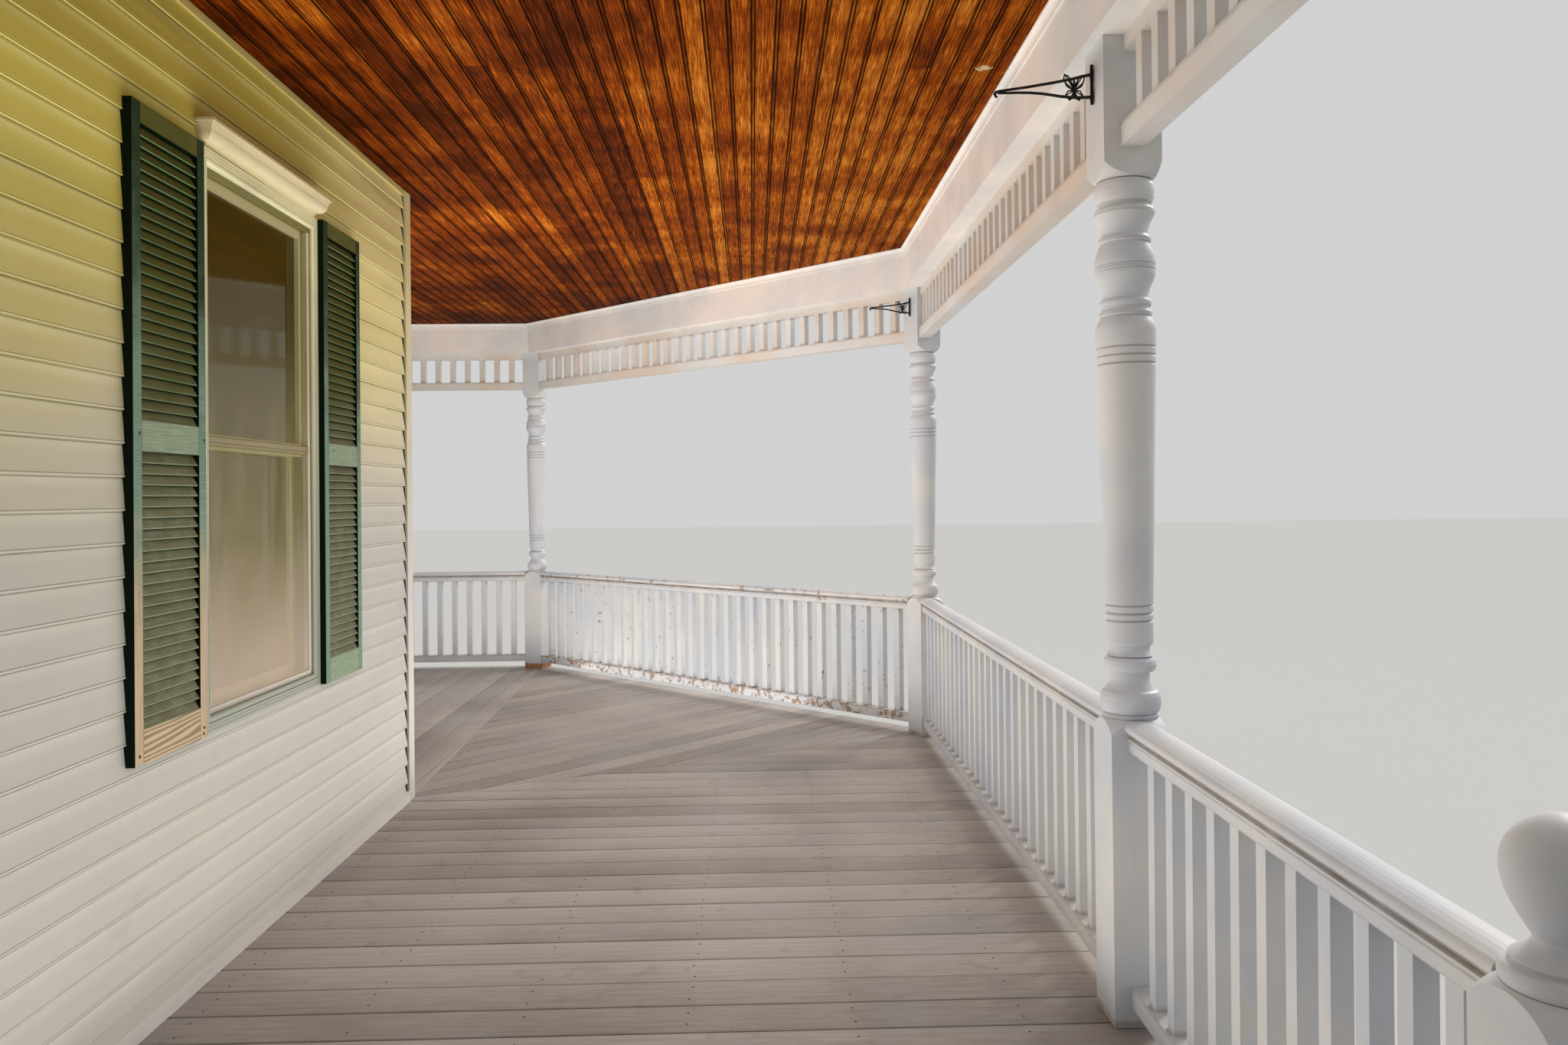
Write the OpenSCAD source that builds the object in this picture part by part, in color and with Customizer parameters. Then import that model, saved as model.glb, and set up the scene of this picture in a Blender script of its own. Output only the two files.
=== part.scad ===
/* [Porch plan] */
// Distance from the front wall to the line of the front posts
front_depth = 2412; // [2000:1:3000]
// Distance from the side wall to the line of the side posts
side_depth = 3700; // [3200:1:4200]
// How far the slanting corner side cuts back along each leg
chamfer = 2575; // [2200:1:2900]
// Spacing of the posts along the straight legs
bay = 3258; // [2800:1:3600]
// Distance from the newel to the next turned post
newel_bay = 1465; // [1100:1:1900]
// How far the cut ends stand past the last posts
end_over = 150; // [110:1:400]

/* [Heights] */
// Height of the floor above the ground
deck_h = 450; // [380:1:700]
// Height of the ceiling above the floor
ceiling_h = 2610; // [2560:1:3000]
// Height of the underside of the beam above the floor
beam_under = 2390; // [2300:1:2450]
// Height of the top of the handrail above the floor
rail_h = 735; // [715:1:760]

/* [House walls] */
// Thickness of the house walls
wall_t = 180; // [140:1:300]
// Height of the foundation above the ground
foundation_h = 400; // [300:1:440]
// Thickness of the foundation
foundation_t = 240; // [200:1:400]
// How far the walls rise past the top of the roof
wall_over_roof = 100; // [40:1:300]
// Width of each leg of the corner board
corner_board_w = 62; // [40:1:110]
// Thickness of the corner board
corner_board_t = 12; // [8:1:20]
// Height of the base trim on the floor
base_trim_h = 45; // [25:1:80]
// Thickness of the base trim
base_trim_t = 16; // [10:1:25]

/* [Window] */
// Distance from the house corner to the middle of the window
window_at = 1430; // [1200:1:2600]
// Outer width of the window frame
window_w = 825; // [600:1:1000]
// Outer height of the window frame
window_h = 1587; // [1200:1:1650]
// Height of the window frame above the floor
window_sill_h = 660; // [560:1:800]
// Width of the window frame's face
window_face_w = 42; // [30:1:60]
// How far the window frame stands out from the wall
window_out = 24; // [15:1:40]
// Depth of the window frame inside the wall
window_deep = 110; // [80:1:130]
// Thickness of the window frame's jamb
jamb_t = 20; // [12:1:25]
// Width of the sash rails and stiles
sash_w = 42; // [30:1:60]
// Thickness of a sash
sash_t = 32; // [24:1:38]
// Thickness of the glass
glass_t = 4; // [3:0.5:6]
// Width of the screen frame
screen_frame_w = 40; // [15:1:45]
// Thickness of the screen frame
screen_frame_t = 11; // [8:1:16]
// Height of the bar across the screen
screen_bar_h = 24; // [15:1:40]
// Height of the crown over the window
crown_h = 66; // [50:1:110]
// How far the crown stands out at its top
crown_out = 58; // [45:1:90]
// How far the crown passes each side of the frame
crown_over = 9; // [0:1:90]

/* [Shutters] */
// Width of a shutter
shutter_w = 348; // [280:1:420]
// Thickness of a shutter
shutter_t = 28; // [22:1:36]
// Width of a shutter's stiles
stile_w = 37; // [30:1:60]
// Height of a shutter's top rail
shutter_top_w = 51; // [30:1:80]
// Height of a shutter's middle rail
shutter_mid_w = 74; // [40:1:110]
// Height of a shutter's bottom rail
shutter_bottom_w = 82; // [50:1:120]
// Height of the middle rail's underside above the shutter's foot
shutter_mid_at = 748; // [600:1:900]
// Spacing of the louvres
louvre_pitch = 26.5; // [22:0.5:34]
// Width of a louvre
louvre_w = 34; // [24:1:38]
// Thickness of a louvre
louvre_t = 7; // [4:0.5:9]
// Slope of the louvres
louvre_tilt = 62; // [35:1:66]

/* [Floor] */
// Thickness of the floor boards
deck_t = 26; // [20:1:40]
// How far the floor passes the line of the posts
deck_over = 76; // [72:1:120]
// Depth of the floor joists
joist_h = 185; // [140:1:200]
// Thickness of the joists and rims
joist_t = 42; // [36:1:60]
// Spacing of the joists
joist_pitch = 560; // [400:1:700]
// How far the rims stand outside the line of the posts
rim_out = 56; // [44:1:70]
// Side of the square piers
pier_w = 300; // [240:1:380]
// Distance from the line of the posts back to the middle of the piers
pier_back = 118; // [118:1:200]
// Thickness of the skirt boards
skirt_t = 22; // [16:1:28]

/* [Posts] */
// Side of the square post blocks
post_w = 141; // [120:1:150]
// Height of the turned neck above the lower block
lower_block_h = 733; // [700:1:760]
// Length of the upper block
upper_block_h = 339; // [280:1:380]
// Radius of the ball that rounds the ends of the blocks
block_dome_r = 120; // [108:1:150]
// Largest radius of the turning
turn_r = 73; // [66:1:74]
// Radius of the shaft at its foot
shaft_foot_r = 57.5; // [52:0.5:64]
// Radius of the shaft at its head
shaft_head_r = 71; // [62:0.5:73]
// Radius in the narrow necks of the turning
neck_r = 47.5; // [42:0.5:54]
// Diameter of the newel's ball
ball_d = 129; // [110:1:140]
// How far the newel's block ends below the other posts' lower blocks
newel_drop = 22; // [0:1:30]

/* [Rails and friezes] */
// Width of the handrail
handrail_w = 78; // [70:1:100]
// Thickness of the handrail
handrail_t = 46; // [40:1:60]
// Height of the flat rail under the handrail
sub_rail_h = 27; // [20:1:50]
// How far the short rail sinks towards the newel
rail_sag = 16; // [0:1:20]
// Width of the flat rails
flat_rail_w = 60; // [50:1:70]
// Height of the bottom rail
bottom_rail_h = 50; // [40:1:70]
// Gap between the floor and the bottom rail
bottom_rail_gap = 50; // [30:1:90]
// Side of the square balusters
baluster_w = 38; // [30:1:45]
// Aim for the spacing of the balusters
baluster_pitch = 112; // [90:1:130]
// Side of the square frieze slats
slat_w = 38; // [30:1:48]
// Aim for the spacing of the frieze slats along the front
slat_pitch = 101; // [90:1:130]
// Height from the frieze's bottom rail to the beam
slat_h = 215; // [150:1:240]
// Height of the frieze's top rail
frieze_top_h = 40; // [20:1:60]
// Height of the frieze's bottom rail
frieze_rail_h = 55; // [35:1:60]

/* [Beam, ceiling and roof] */
// How far the beam stands inside the line of the posts
beam_in = 97; // [71:1:110]
// How far the beam stands outside the line of the posts
beam_out = 71; // [60:1:80]
// Thickness of the ceiling boards
ceiling_t = 20; // [14:1:30]
// Height of the moulding under the ceiling
moulding_h = 34; // [22:1:50]
// How far the moulding stands out from the beam
moulding_out = 20; // [14:1:40]
// Overhang of the eaves past the line of the posts
eave_over = 330; // [250:1:420]
// Rise of the roof from the eaves to the walls
roof_rise = 580; // [450:1:800]
// Upright thickness of the roof
roof_t = 120; // [90:1:160]
// Thickness of the boards at the eaves
fascia_t = 20; // [15:1:30]
// Thickness of the soffit boards
soffit_t = 15; // [10:1:20]

/* [Fittings] */
// Reach of a plant bracket
bracket_reach = 240; // [180:1:300]
// Height of a bracket's wall plate
bracket_plate_h = 100; // [90:1:130]
// Height of a bracket's plate above the floor
bracket_at = 2245; // [2180:1:2270]
// Thickness of a bracket's bars
bracket_bar = 7; // [5:0.5:9]
// Side of a rail clip's plate
clip_w = 30; // [20:1:40]

/* [Hidden] */

// Gap left between pieces that seat on each other
fit = 0.3;
// Segments in a bead or cove of the turning
turn_steps = 6;
// Longer than anything in the plan
far = 12000;

white = "whitesmoke";
cream = "cornsilk";

// Posts in plan, from the house corner at 0, 0
post_c_at = [front_depth, side_depth - chamfer];
post_b_at = post_c_at - [0, bay];
post_a_at = post_b_at - [0, bay];
post_d_at = [front_depth - chamfer, side_depth];
post_e_at = post_d_at - [bay, 0];
newel_at = post_b_at - [0, newel_bay];
corner_depth = (front_depth + side_depth - chamfer) / sqrt(2);
front_len = end_over - post_a_at[1];
side_len = end_over - post_e_at[0];

// Levels above the ground
deck_under = deck_h - deck_t;
frame_under = deck_under - joist_h;
beam_z = deck_h + beam_under;
ceiling_z = deck_h + ceiling_h;
eave_z = ceiling_z + soffit_t;
apex_z = eave_z + roof_rise;
wall_top = apex_z + roof_t + wall_over_roof;
frieze_z = beam_z - slat_h - frieze_rail_h;
window_z = deck_h + window_sill_h;
handrail_z = deck_h + rail_h - handrail_t;

// Shift that brings the middle of the whole plan to the origin
east = front_depth + eave_over + fascia_t;
north = side_depth + eave_over + fascia_t;
west = -side_len - fascia_t;
south = -front_len - fascia_t;
middle = [-(east + west) / 2, -(north + south) / 2, 0];

// Corners of the porch's outer edge, moved out from the post line by o
function edge(o) = [
    [front_depth + o, -front_len],
    [front_depth + o, sqrt(2) * (corner_depth + o) - front_depth - o],
    [sqrt(2) * (corner_depth + o) - side_depth - o, side_depth + o],
    [-side_len, side_depth + o]
];

// One leg's strip between two offsets from the post line
function strip(leg, o1, o2) = [edge(o2)[leg], edge(o2)[leg + 1], edge(o1)[leg + 1], edge(o1)[leg]];

// Plan of the whole floor out to an offset
function floor_plan(o) = concat([[0, 0], [0, -front_len]], edge(o), [[-side_len, 0]]);

// Half circle swelling from r0 to r1 between two heights
function bead(z0, z1, r0, r1) = [for (i = [0:turn_steps])
    let (a = 180 * i / turn_steps) [r0 + (r1 - r0) * sin(a), z0 + (z1 - z0) * (1 - cos(a)) / 2]];

// Quarter wave from one radius to another, hollow at the narrow end
function flare(z0, r0, z1, r1) = [for (i = [0:turn_steps])
    let (t = i / turn_steps, wave = r1 > r0 ? 1 - cos(90 * t) : sin(90 * t))
        [r0 + (r1 - r0) * wave, z0 + (z1 - z0) * t]];

// Quarter wave from one radius to another, full at the wide end
function swell(z0, r0, z1, r1) = [for (i = [0:turn_steps])
    let (t = i / turn_steps, wave = r1 > r0 ? sin(90 * t) : 1 - cos(90 * t))
        [r0 + (r1 - r0) * wave, z0 + (z1 - z0) * t]];

// Small cut round a turning of radius r
function groove(z, r, cut) = [[r, z - cut], [r - cut, z], [r, z + cut]];

// Part of a circle
function arc(cx, cy, r, a0, a1, n) = [for (i = [0:n])
    let (a = a0 + (a1 - a0) * i / n) [cx + r * cos(a), cy + r * sin(a)]];

// Moves the plan so that its middle is at the origin
module place() {
    translate(middle) children();
}

module box(low, high) {
    translate(low) cube([high[0] - low[0], high[1] - low[1], high[2] - low[2]]);
}

// Upright prism on a plan
module prism(points, z0, z1) {
    translate([0, 0, z0]) linear_extrude(z1 - z0) polygon(points);
}

// Turns x along the line from p to q, with z up
module along(p, q) {
    translate([p[0], p[1], 0]) rotate([0, 0, atan2(q[1] - p[1], q[0] - p[0])]) children();
}

function bay_len(p, q) = norm([q[0] - p[0], q[1] - p[1]]);

// Profile in y and z, carried along x
module bar(length) {
    rotate([90, 0, 90]) linear_extrude(length) children();
}

// Square post hole at a place in plan, turned by a
module block_hole(at, a, z0, z1) {
    half = post_w / 2 + fit;
    translate([at[0], at[1], 0]) rotate([0, 0, a]) box([-half, -half, z0], [half, half, z1]);
}

// How far each post is turned in plan, so that the corner posts face between their rails
function post_turn(at) = at == post_c_at ? 22.5 : at == post_d_at ? 67.5 : 0;

module cut_for_posts(p, q, z0, z1) {
    difference() {
        children();
        block_hole(p, post_turn(p), z0, z1);
        block_hole(q, post_turn(q), z0, z1);
    }
}

// House walls

module window_hole(margin) {
    y = -window_at;
    half = window_w / 2 - margin;
    box([-wall_t - 10, y - half, window_z + margin],
        [window_out + 10, y + half, window_z + window_h - margin]);
}

// The walls meet in a mitre at the house corner
module front_wall() {
    color(cream) place() difference() {
        prism([[0, 0], [-wall_t, -wall_t], [-wall_t, -front_len], [0, -front_len]], foundation_h, wall_top);
        window_hole(window_face_w - jamb_t);
    }
}

module side_wall() {
    color(cream) place() prism([[0, 0], [-side_len, 0], [-side_len, -wall_t], [-wall_t, -wall_t]],
        foundation_h, wall_top);
}

module foundation() {
    color("darkgray") place() prism([[0, 0], [0, -front_len], [-foundation_t, -front_len],
        [-foundation_t, -foundation_t], [-side_len, -foundation_t], [-side_len, 0]], 0, foundation_h);
}

module corner_board() {
    w = corner_board_w;
    t = corner_board_t;
    color("ivory") place()
        prism([[0, 0], [0, -w], [t, -w], [t, t], [-w, t], [-w, 0]], deck_h, ceiling_z - fit);
}

module base_trim() {
    w = corner_board_w + fit;
    color("ivory") place() {
        box([0, -front_len, deck_h], [base_trim_t, -w, deck_h + base_trim_h]);
        box([-side_len, 0, deck_h], [-w, base_trim_t, deck_h + base_trim_h]);
    }
}

// Window, worked in a frame with x out of the wall, y along it and z up

// Upright ring around the window, inset from its outer edge
module window_ring(x0, x1, inset, width) {
    half = window_w / 2 - inset;
    z0 = window_z + inset;
    z1 = window_z + window_h - inset;
    translate([0, -window_at, 0]) difference() {
        box([x0, -half, z0], [x1, half, z1]);
        box([x0 - 1, width - half, z0 + width], [x1 + 1, half - width, z1 - width]);
    }
}

module window_frame() {
    inset = window_face_w - jamb_t + fit;
    color("ivory") place() {
        window_ring(0, window_out, 0, window_face_w);
        window_ring(-window_deep, 0.01, inset, jamb_t - fit);
    }
}

sash_inset = window_face_w + fit;
sash_open_h = window_h - 2 * sash_inset;
meeting_z = window_z + window_h / 2;

// One sash between two heights, its outside face at x
module sash(x, z0, z1) {
    half = window_w / 2 - sash_inset;
    translate([0, -window_at, 0]) difference() {
        box([x - sash_t, -half, z0], [x, half, z1]);
        box([x - sash_t - 1, sash_w - half, z0 + sash_w], [x + 1, half - sash_w, z1 - sash_w]);
    }
}

upper_sash_x = -window_deep / 2 + sash_t;
lower_sash_x = upper_sash_x - sash_t - fit;

module window_sashes() {
    color("ivory") place() {
        sash(upper_sash_x, meeting_z - sash_w / 2, window_z + window_h - sash_inset);
        sash(lower_sash_x, window_z + sash_inset, meeting_z + sash_w / 2);
    }
}

module pane(x, z0, z1) {
    half = window_w / 2 - sash_inset - sash_w - fit;
    mid = x - sash_t / 2;
    translate([0, -window_at, 0]) box([mid - glass_t / 2, -half, z0 + sash_w + fit],
        [mid + glass_t / 2, half, z1 - sash_w - fit]);
}

module window_glass() {
    color("lightblue", 0.5) place() {
        pane(upper_sash_x, meeting_z - sash_w / 2, window_z + window_h - sash_inset);
        pane(lower_sash_x, window_z + sash_inset, meeting_z + sash_w / 2);
    }
}

// Framed screen in front of the sashes, with a bar at half height and thin mesh sheets
module insect_screen() {
    half = window_w / 2 - sash_inset;
    x0 = upper_sash_x + fit;
    x1 = x0 + screen_frame_t;
    mesh_x = (x0 + x1) / 2;
    bar = screen_bar_h / 2;
    color("silver") place() {
        window_ring(x0, x1, sash_inset, screen_frame_w);
        translate([0, -window_at, 0]) {
            box([x0, -half + 1, meeting_z - bar], [x1, half - 1, meeting_z + bar]);
            box([mesh_x - 0.5, -half + 1, window_z + sash_inset + 1], [mesh_x + 0.5, half - 1,
                window_z + window_h - sash_inset - 1]);
        }
    }
}

// Edge of the crown from its foot to its lip, out from the foot's face
function crown_edge(foot) = let (bed = 4, lip = 4, lip_h = 10, out = crown_out - foot,
        rise = crown_h - bed - lip_h) concat(
    [[0, 0], [0, bed]],
    [for (i = [1:turn_steps]) let (a = 90 * i / turn_steps)
        [(out - lip) * sin(a), bed + rise * (1 - cos(a))]],
    [[out, crown_h - lip_h], [out, crown_h]]
);

// Full moulded section that swells out under a flat lip
module crown_section(foot) {
    polygon(concat([[0, 0]], [for (p = crown_edge(foot)) [foot + p[0], p[1]]], [[0, crown_h]]));
}

// The moulding turns back to the wall at both ends
module window_crown() {
    foot = 12;
    half = window_w / 2 + crown_over - crown_out + foot;
    edge = crown_edge(foot);
    color("ivory") place() translate([0, -window_at, window_z + window_h + fit]) intersection() {
        translate([0, far, 0]) rotate([90, 0, 0]) linear_extrude(2 * far) crown_section(foot);
        rotate([90, 0, 90]) linear_extrude(crown_out) polygon(concat(
            [for (p = edge) [half + p[0], p[1]]],
            [for (i = [len(edge) - 1:-1:0]) [-half - edge[i][0], edge[i][1]]]));
    }
}

// Shutters

// Louvres between two heights, sloping down towards the outside
module louvres(z0, z1) {
    n = floor((z1 - z0) / louvre_pitch);
    step = (z1 - z0) / n;
    inner = shutter_w - 2 * stile_w + 8;
    for (i = [0:n - 1]) {
        translate([shutter_t / 2, stile_w - 4, z0 + (i + 0.5) * step]) rotate([0, louvre_tilt, 0])
            translate([-louvre_w / 2, 0, -louvre_t / 2]) cube([louvre_w, inner, louvre_t]);
    }
}

module shutter() {
    w = shutter_w;
    h = window_h;
    mid_top = shutter_mid_at + shutter_mid_w;
    intersection() {
        union() {
            box([0, 0, 0], [shutter_t, stile_w, h]);
            box([0, w - stile_w, 0], [shutter_t, w, h]);
            box([0, stile_w - 1, 0], [shutter_t, w - stile_w + 1, shutter_bottom_w]);
            box([0, stile_w - 1, shutter_mid_at], [shutter_t, w - stile_w + 1, mid_top]);
            box([0, stile_w - 1, h - shutter_top_w], [shutter_t, w - stile_w + 1, h]);
            louvres(shutter_bottom_w, shutter_mid_at);
            louvres(mid_top, h - shutter_top_w);
        }
        box([0, 0, 0], [shutter_t, w, h]);
    }
}

module shutter_left() {
    color("darkslategray") place()
        translate([0, -window_at - window_w / 2 - fit - shutter_w, window_z]) shutter();
}

module shutter_right() {
    color("darkslategray") place() translate([0, -window_at + window_w / 2 + fit, window_z]) shutter();
}

// Floor

module deck_front() {
    e = edge(deck_over);
    color("rosybrown") place() prism([[0, 0], [0, -front_len], e[0], e[1]], deck_under, deck_h);
}

module deck_corner() {
    e = edge(deck_over);
    color("rosybrown") place() prism([[0, 0], e[1], e[2]], deck_under, deck_h);
}

module deck_side() {
    e = edge(deck_over);
    color("rosybrown") place() prism([[0, 0], e[2], e[3], [-side_len, 0]], deck_under, deck_h);
}

// Joints where pieces of neighbouring legs meet at the two turned posts
module mitre_cuts() {
    for (corner = [[post_c_at, 22.5], [post_d_at, 67.5]]) {
        translate(corner[0]) rotate([0, 0, corner[1]]) cube([far, fit, 2 * far], center = true);
    }
}

// Rims, ledgers and joists that follow the porch round the corner
module floor_frame() {
    top = deck_under - fit;
    rows = floor((front_depth - joist_t) / joist_pitch);
    rim_line = front_depth + rim_out;
    color("tan") place() {
        difference() {
            for (leg = [0:2], i = [0:rows]) {
                o = rim_out - i * joist_pitch;
                prism(strip(leg, o - joist_t, o), frame_under, top);
            }
            mitre_cuts();
            box([joist_t, -front_len - 1, 0], [far, joist_t + fit - front_len, far]);
            box([-side_len - 1, joist_t, 0], [joist_t + fit - side_len, far, far]);
        }
        box([0, joist_t + fit - front_len, frame_under], [joist_t, joist_t, top]);
        box([joist_t + fit - side_len, 0, frame_under], [-fit, joist_t, top]);
        box([0, -front_len, frame_under], [rim_line, joist_t - front_len, top]);
        box([-side_len, 0, frame_under], [joist_t - side_len, side_depth + rim_out, top]);
    }
}

module pier(at, a) {
    translate([at[0], at[1], 0]) rotate([0, 0, a]) translate([-pier_w / 2, -pier_w / 2, 0])
        cube([pier_w, pier_w, frame_under - fit]);
}

// The corner piers are turned, so they stand further back from the skirt
module piers() {
    e = edge(-pier_back);
    turned = edge(-pier_back - pier_w / 2 * (cos(22.5) + sin(22.5) - 1));
    color("gray") place() {
        pier([e[0][0], post_a_at[1] + pier_back], 0);
        pier([e[0][0], post_b_at[1]], 0);
        pier(turned[1], 22.5);
        pier(turned[2], 67.5);
        pier([post_e_at[0] + pier_back, e[3][1]], 0);
    }
}

// Skirt under the rims and along both cut ends
module skirt() {
    top = frame_under - fit;
    inner = rim_out - skirt_t - fit;
    color(white) place() {
        difference() {
            for (leg = [0:2]) {
                prism(strip(leg, rim_out - skirt_t, rim_out), 0, top);
            }
            mitre_cuts();
        }
        box([0, -front_len, 0], [front_depth + inner, skirt_t - front_len, top]);
        box([-side_len, 0, 0], [skirt_t - side_len, side_depth + inner, top]);
    }
}

// Posts

// Square block whose far end is rounded by a ball, with its round end at z = 0
module domed_block(length) {
    neck = 0.9 * turn_r;
    drop = sqrt(pow(block_dome_r, 2) - pow(neck, 2));
    intersection() {
        translate([-post_w / 2, -post_w / 2, -length]) cube([post_w, post_w, length]);
        union() {
            translate([0, 0, -length]) cylinder(r = block_dome_r, h = length - drop, $fn = 64);
            translate([0, 0, -drop]) sphere(r = block_dome_r, $fn = 64);
        }
    }
}

// Turned foot of the shaft, from the top of the lower block
function foot_turning(z) = concat(
    bead(z, z + 11, 0.86 * turn_r, 0.92 * turn_r),
    bead(z + 12, z + 68, 0.84 * turn_r, turn_r),
    flare(z + 70, 0.81 * turn_r, z + 98, neck_r - 1),
    [[neck_r - 1, z + 110]],
    bead(z + 112, z + 150, neck_r + 2, 0.87 * turn_r),
    flare(z + 152, 0.76 * turn_r, z + 166, neck_r + 1),
    [[neck_r + 1, z + 176]],
    swell(z + 177, neck_r + 3, z + 184, shaft_foot_r - 1),
    groove(z + 238, shaft_foot_r - 1, 4),
    groove(z + 256, shaft_foot_r - 0.5, 4.5),
    groove(z + 275, shaft_foot_r, 3)
);

// Turned head of the shaft, down from the underside of the upper block
function head_turning(z) = concat(
    groove(z - 451, shaft_head_r, 4),
    groove(z - 431, shaft_head_r + 0.5, 4),
    groove(z - 411, shaft_head_r + 1, 3.5),
    [[turn_r, z - 392], [turn_r, z - 372]],
    swell(z - 370, turn_r, z - 338, 0.84 * turn_r),
    bead(z - 335, z - 320, 0.8 * turn_r, 0.87 * turn_r),
    [[0.77 * turn_r, z - 315]],
    bead(z - 311, z - 293, 0.78 * turn_r, 0.86 * turn_r),
    [[0.76 * turn_r, z - 290]],
    flare(z - 288, 0.76 * turn_r, z - 256, 0.87 * turn_r),
    swell(z - 254, 0.88 * turn_r, z - 226, turn_r),
    groove(z - 222, turn_r, 2.5),
    groove(z - 209, turn_r, 2.5),
    swell(z - 204, turn_r, z - 157, 0.82 * turn_r),
    bead(z - 154, z - 138, 0.8 * turn_r, 0.87 * turn_r),
    [[0.77 * turn_r, z - 134]],
    flare(z - 132, 0.77 * turn_r, z - 83, turn_r),
    swell(z - 76, turn_r, z - 62, 0.8 * turn_r),
    bead(z - 59, z, 0.82 * turn_r, turn_r)
);

module post(at) {
    top = beam_under - fit;
    shoulder = top - upper_block_h;
    translate([at[0], at[1], deck_h + fit]) rotate([0, 0, post_turn(at)]) {
        translate([0, 0, lower_block_h]) domed_block(lower_block_h);
        translate([0, 0, shoulder]) mirror([0, 0, 1]) domed_block(upper_block_h - 2 * fit);
        rotate_extrude($fn = 64) polygon(concat([[0, lower_block_h - 1], [0.84 * turn_r, lower_block_h - 1]],
            foot_turning(lower_block_h), head_turning(shoulder),
            [[0.82 * turn_r, shoulder + 1], [0, shoulder + 1]]));
    }
}

module post_a() {
    color(white) place() post(post_a_at);
}

module post_b() {
    color(white) place() post(post_b_at);
}

module post_c() {
    color(white) place() post(post_c_at);
}

module post_d() {
    color(white) place() post(post_d_at);
}

module post_e() {
    color(white) place() post(post_e_at);
}

// Half-height post with a ring, a dished plate and a ball that tapers into its neck
module newel_post() {
    block = lower_block_h - newel_drop;
    ball_r = ball_d / 2;
    neck = 0.5 * ball_r;
    neck_z = block + 56;
    ball_z = neck_z + 1.22 * ball_r;
    color(white) place() translate([newel_at[0], newel_at[1], deck_h + fit]) {
        translate([0, 0, block]) domed_block(block);
        rotate_extrude($fn = 64) polygon(concat([[0, block - 1], [0.84 * turn_r, block - 1]],
            bead(block, block + 23, 0.86 * turn_r, 0.93 * turn_r),
            [[0.78 * turn_r, block + 24], [0.76 * turn_r, block + 32]],
            flare(block + 33, 0.74 * turn_r, neck_z - 2, neck),
            swell(neck_z, neck, ball_z, ball_r - 0.2),
            [[0, ball_z]]));
        translate([0, 0, ball_z]) sphere(r = ball_r, $fn = 64);
    }
}

// Rails and friezes

// Handrail with a hollow under a rounded nosing and a nearly flat top, its foot at z = 0
module handrail_section() {
    foot = flat_rail_w / 2 + 1;
    hollow = 16;
    nose = 12;
    top_r = 75;
    half = handrail_w / 2 - nose;
    right = concat([[foot, 0], [foot, 4]],
        arc(half + nose - 3, 4, hollow - 4, 165, 100, 4),
        arc(half, hollow + nose, nose, -60, 60, 6),
        arc(0, handrail_t - top_r, top_r, 65, 90, 3));
    left = [for (i = [len(right) - 1:-1:0]) [-right[i][0], right[i][1]]];
    polygon(concat(right, left));
}

// Evenly spaced uprights between two posts
module uprights(length, pitch, w, z0, z1) {
    clear = length - post_w;
    n = round(clear / pitch) - 1;
    step = clear / (n + 1);
    for (i = [1:n]) {
        box([post_w / 2 + i * step - w / 2, -w / 2, z0], [post_w / 2 + i * step + w / 2, w / 2, z1]);
    }
}

// A rail may sink by sag at p, as one turned about its foot at q
module rail(p, q, sag = 0) {
    length = bay_len(p, q);
    half = flat_rail_w / 2;
    foot = deck_h + bottom_rail_gap;
    sub = handrail_z - sub_rail_h;
    cut_for_posts(p, q, deck_h - 10, beam_z) along(p, q)
        translate([length, 0, foot]) rotate([0, -asin(sag / length), 0]) translate([-length, 0, -foot]) {
        translate([0, 0, handrail_z - 0.01]) bar(length) handrail_section();
        box([0, -half, sub], [length, half, handrail_z]);
        box([0, -half, foot], [length, half, foot + bottom_rail_h]);
        uprights(length, baluster_pitch, baluster_w, foot + bottom_rail_h - 5, sub + 5);
    }
}

module rail_newel_b() {
    color(white) place() rail(newel_at, post_b_at, rail_sag);
}

module rail_b_c() {
    color(white) place() rail(post_b_at, post_c_at);
}

module rail_c_d() {
    color(white) place() rail(post_c_at, post_d_at);
}

module rail_d_e() {
    color(white) place() rail(post_d_at, post_e_at);
}

// Slats between a bottom rail and a top rail that is hardly wider than they are
module frieze(p, q, pitch) {
    length = bay_len(p, q);
    half = flat_rail_w / 2;
    top = beam_z - fit;
    top_half = slat_w / 2 + 1;
    cut_for_posts(p, q, frieze_z - 50, beam_z + 10) along(p, q) {
        box([0, -half, frieze_z], [length, half, frieze_z + frieze_rail_h]);
        box([0, -top_half, top - frieze_top_h], [length, top_half, top]);
        uprights(length, pitch, slat_w, frieze_z + frieze_rail_h - 5, top - frieze_top_h + 5);
    }
}

module frieze_a_b() {
    color(white) place() frieze(post_a_at, post_b_at, slat_pitch);
}

module frieze_b_c() {
    color(white) place() frieze(post_b_at, post_c_at, slat_pitch);
}

module frieze_c_d() {
    color(white) place() frieze(post_c_at, post_d_at, baluster_pitch);
}

module frieze_d_e() {
    color(white) place() frieze(post_d_at, post_e_at, baluster_pitch);
}

// Beam, ceiling and roof

leg_depth = [front_depth, corner_depth, side_depth];
leg_turn = [0, 45, 90];

// Space between a leg's roof plane and a plane lifted above it
module roof_layer(leg, lift, thick) {
    d = leg_depth[leg] + eave_over;
    rotate([0, 0, leg_turn[leg]]) rotate([90, 0, 0]) translate([0, 0, -far]) linear_extrude(2 * far)
        polygon([[0, apex_z + lift], [0, apex_z + lift + thick],
            [d, eave_z + lift + thick], [d, eave_z + lift]]);
}

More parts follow.
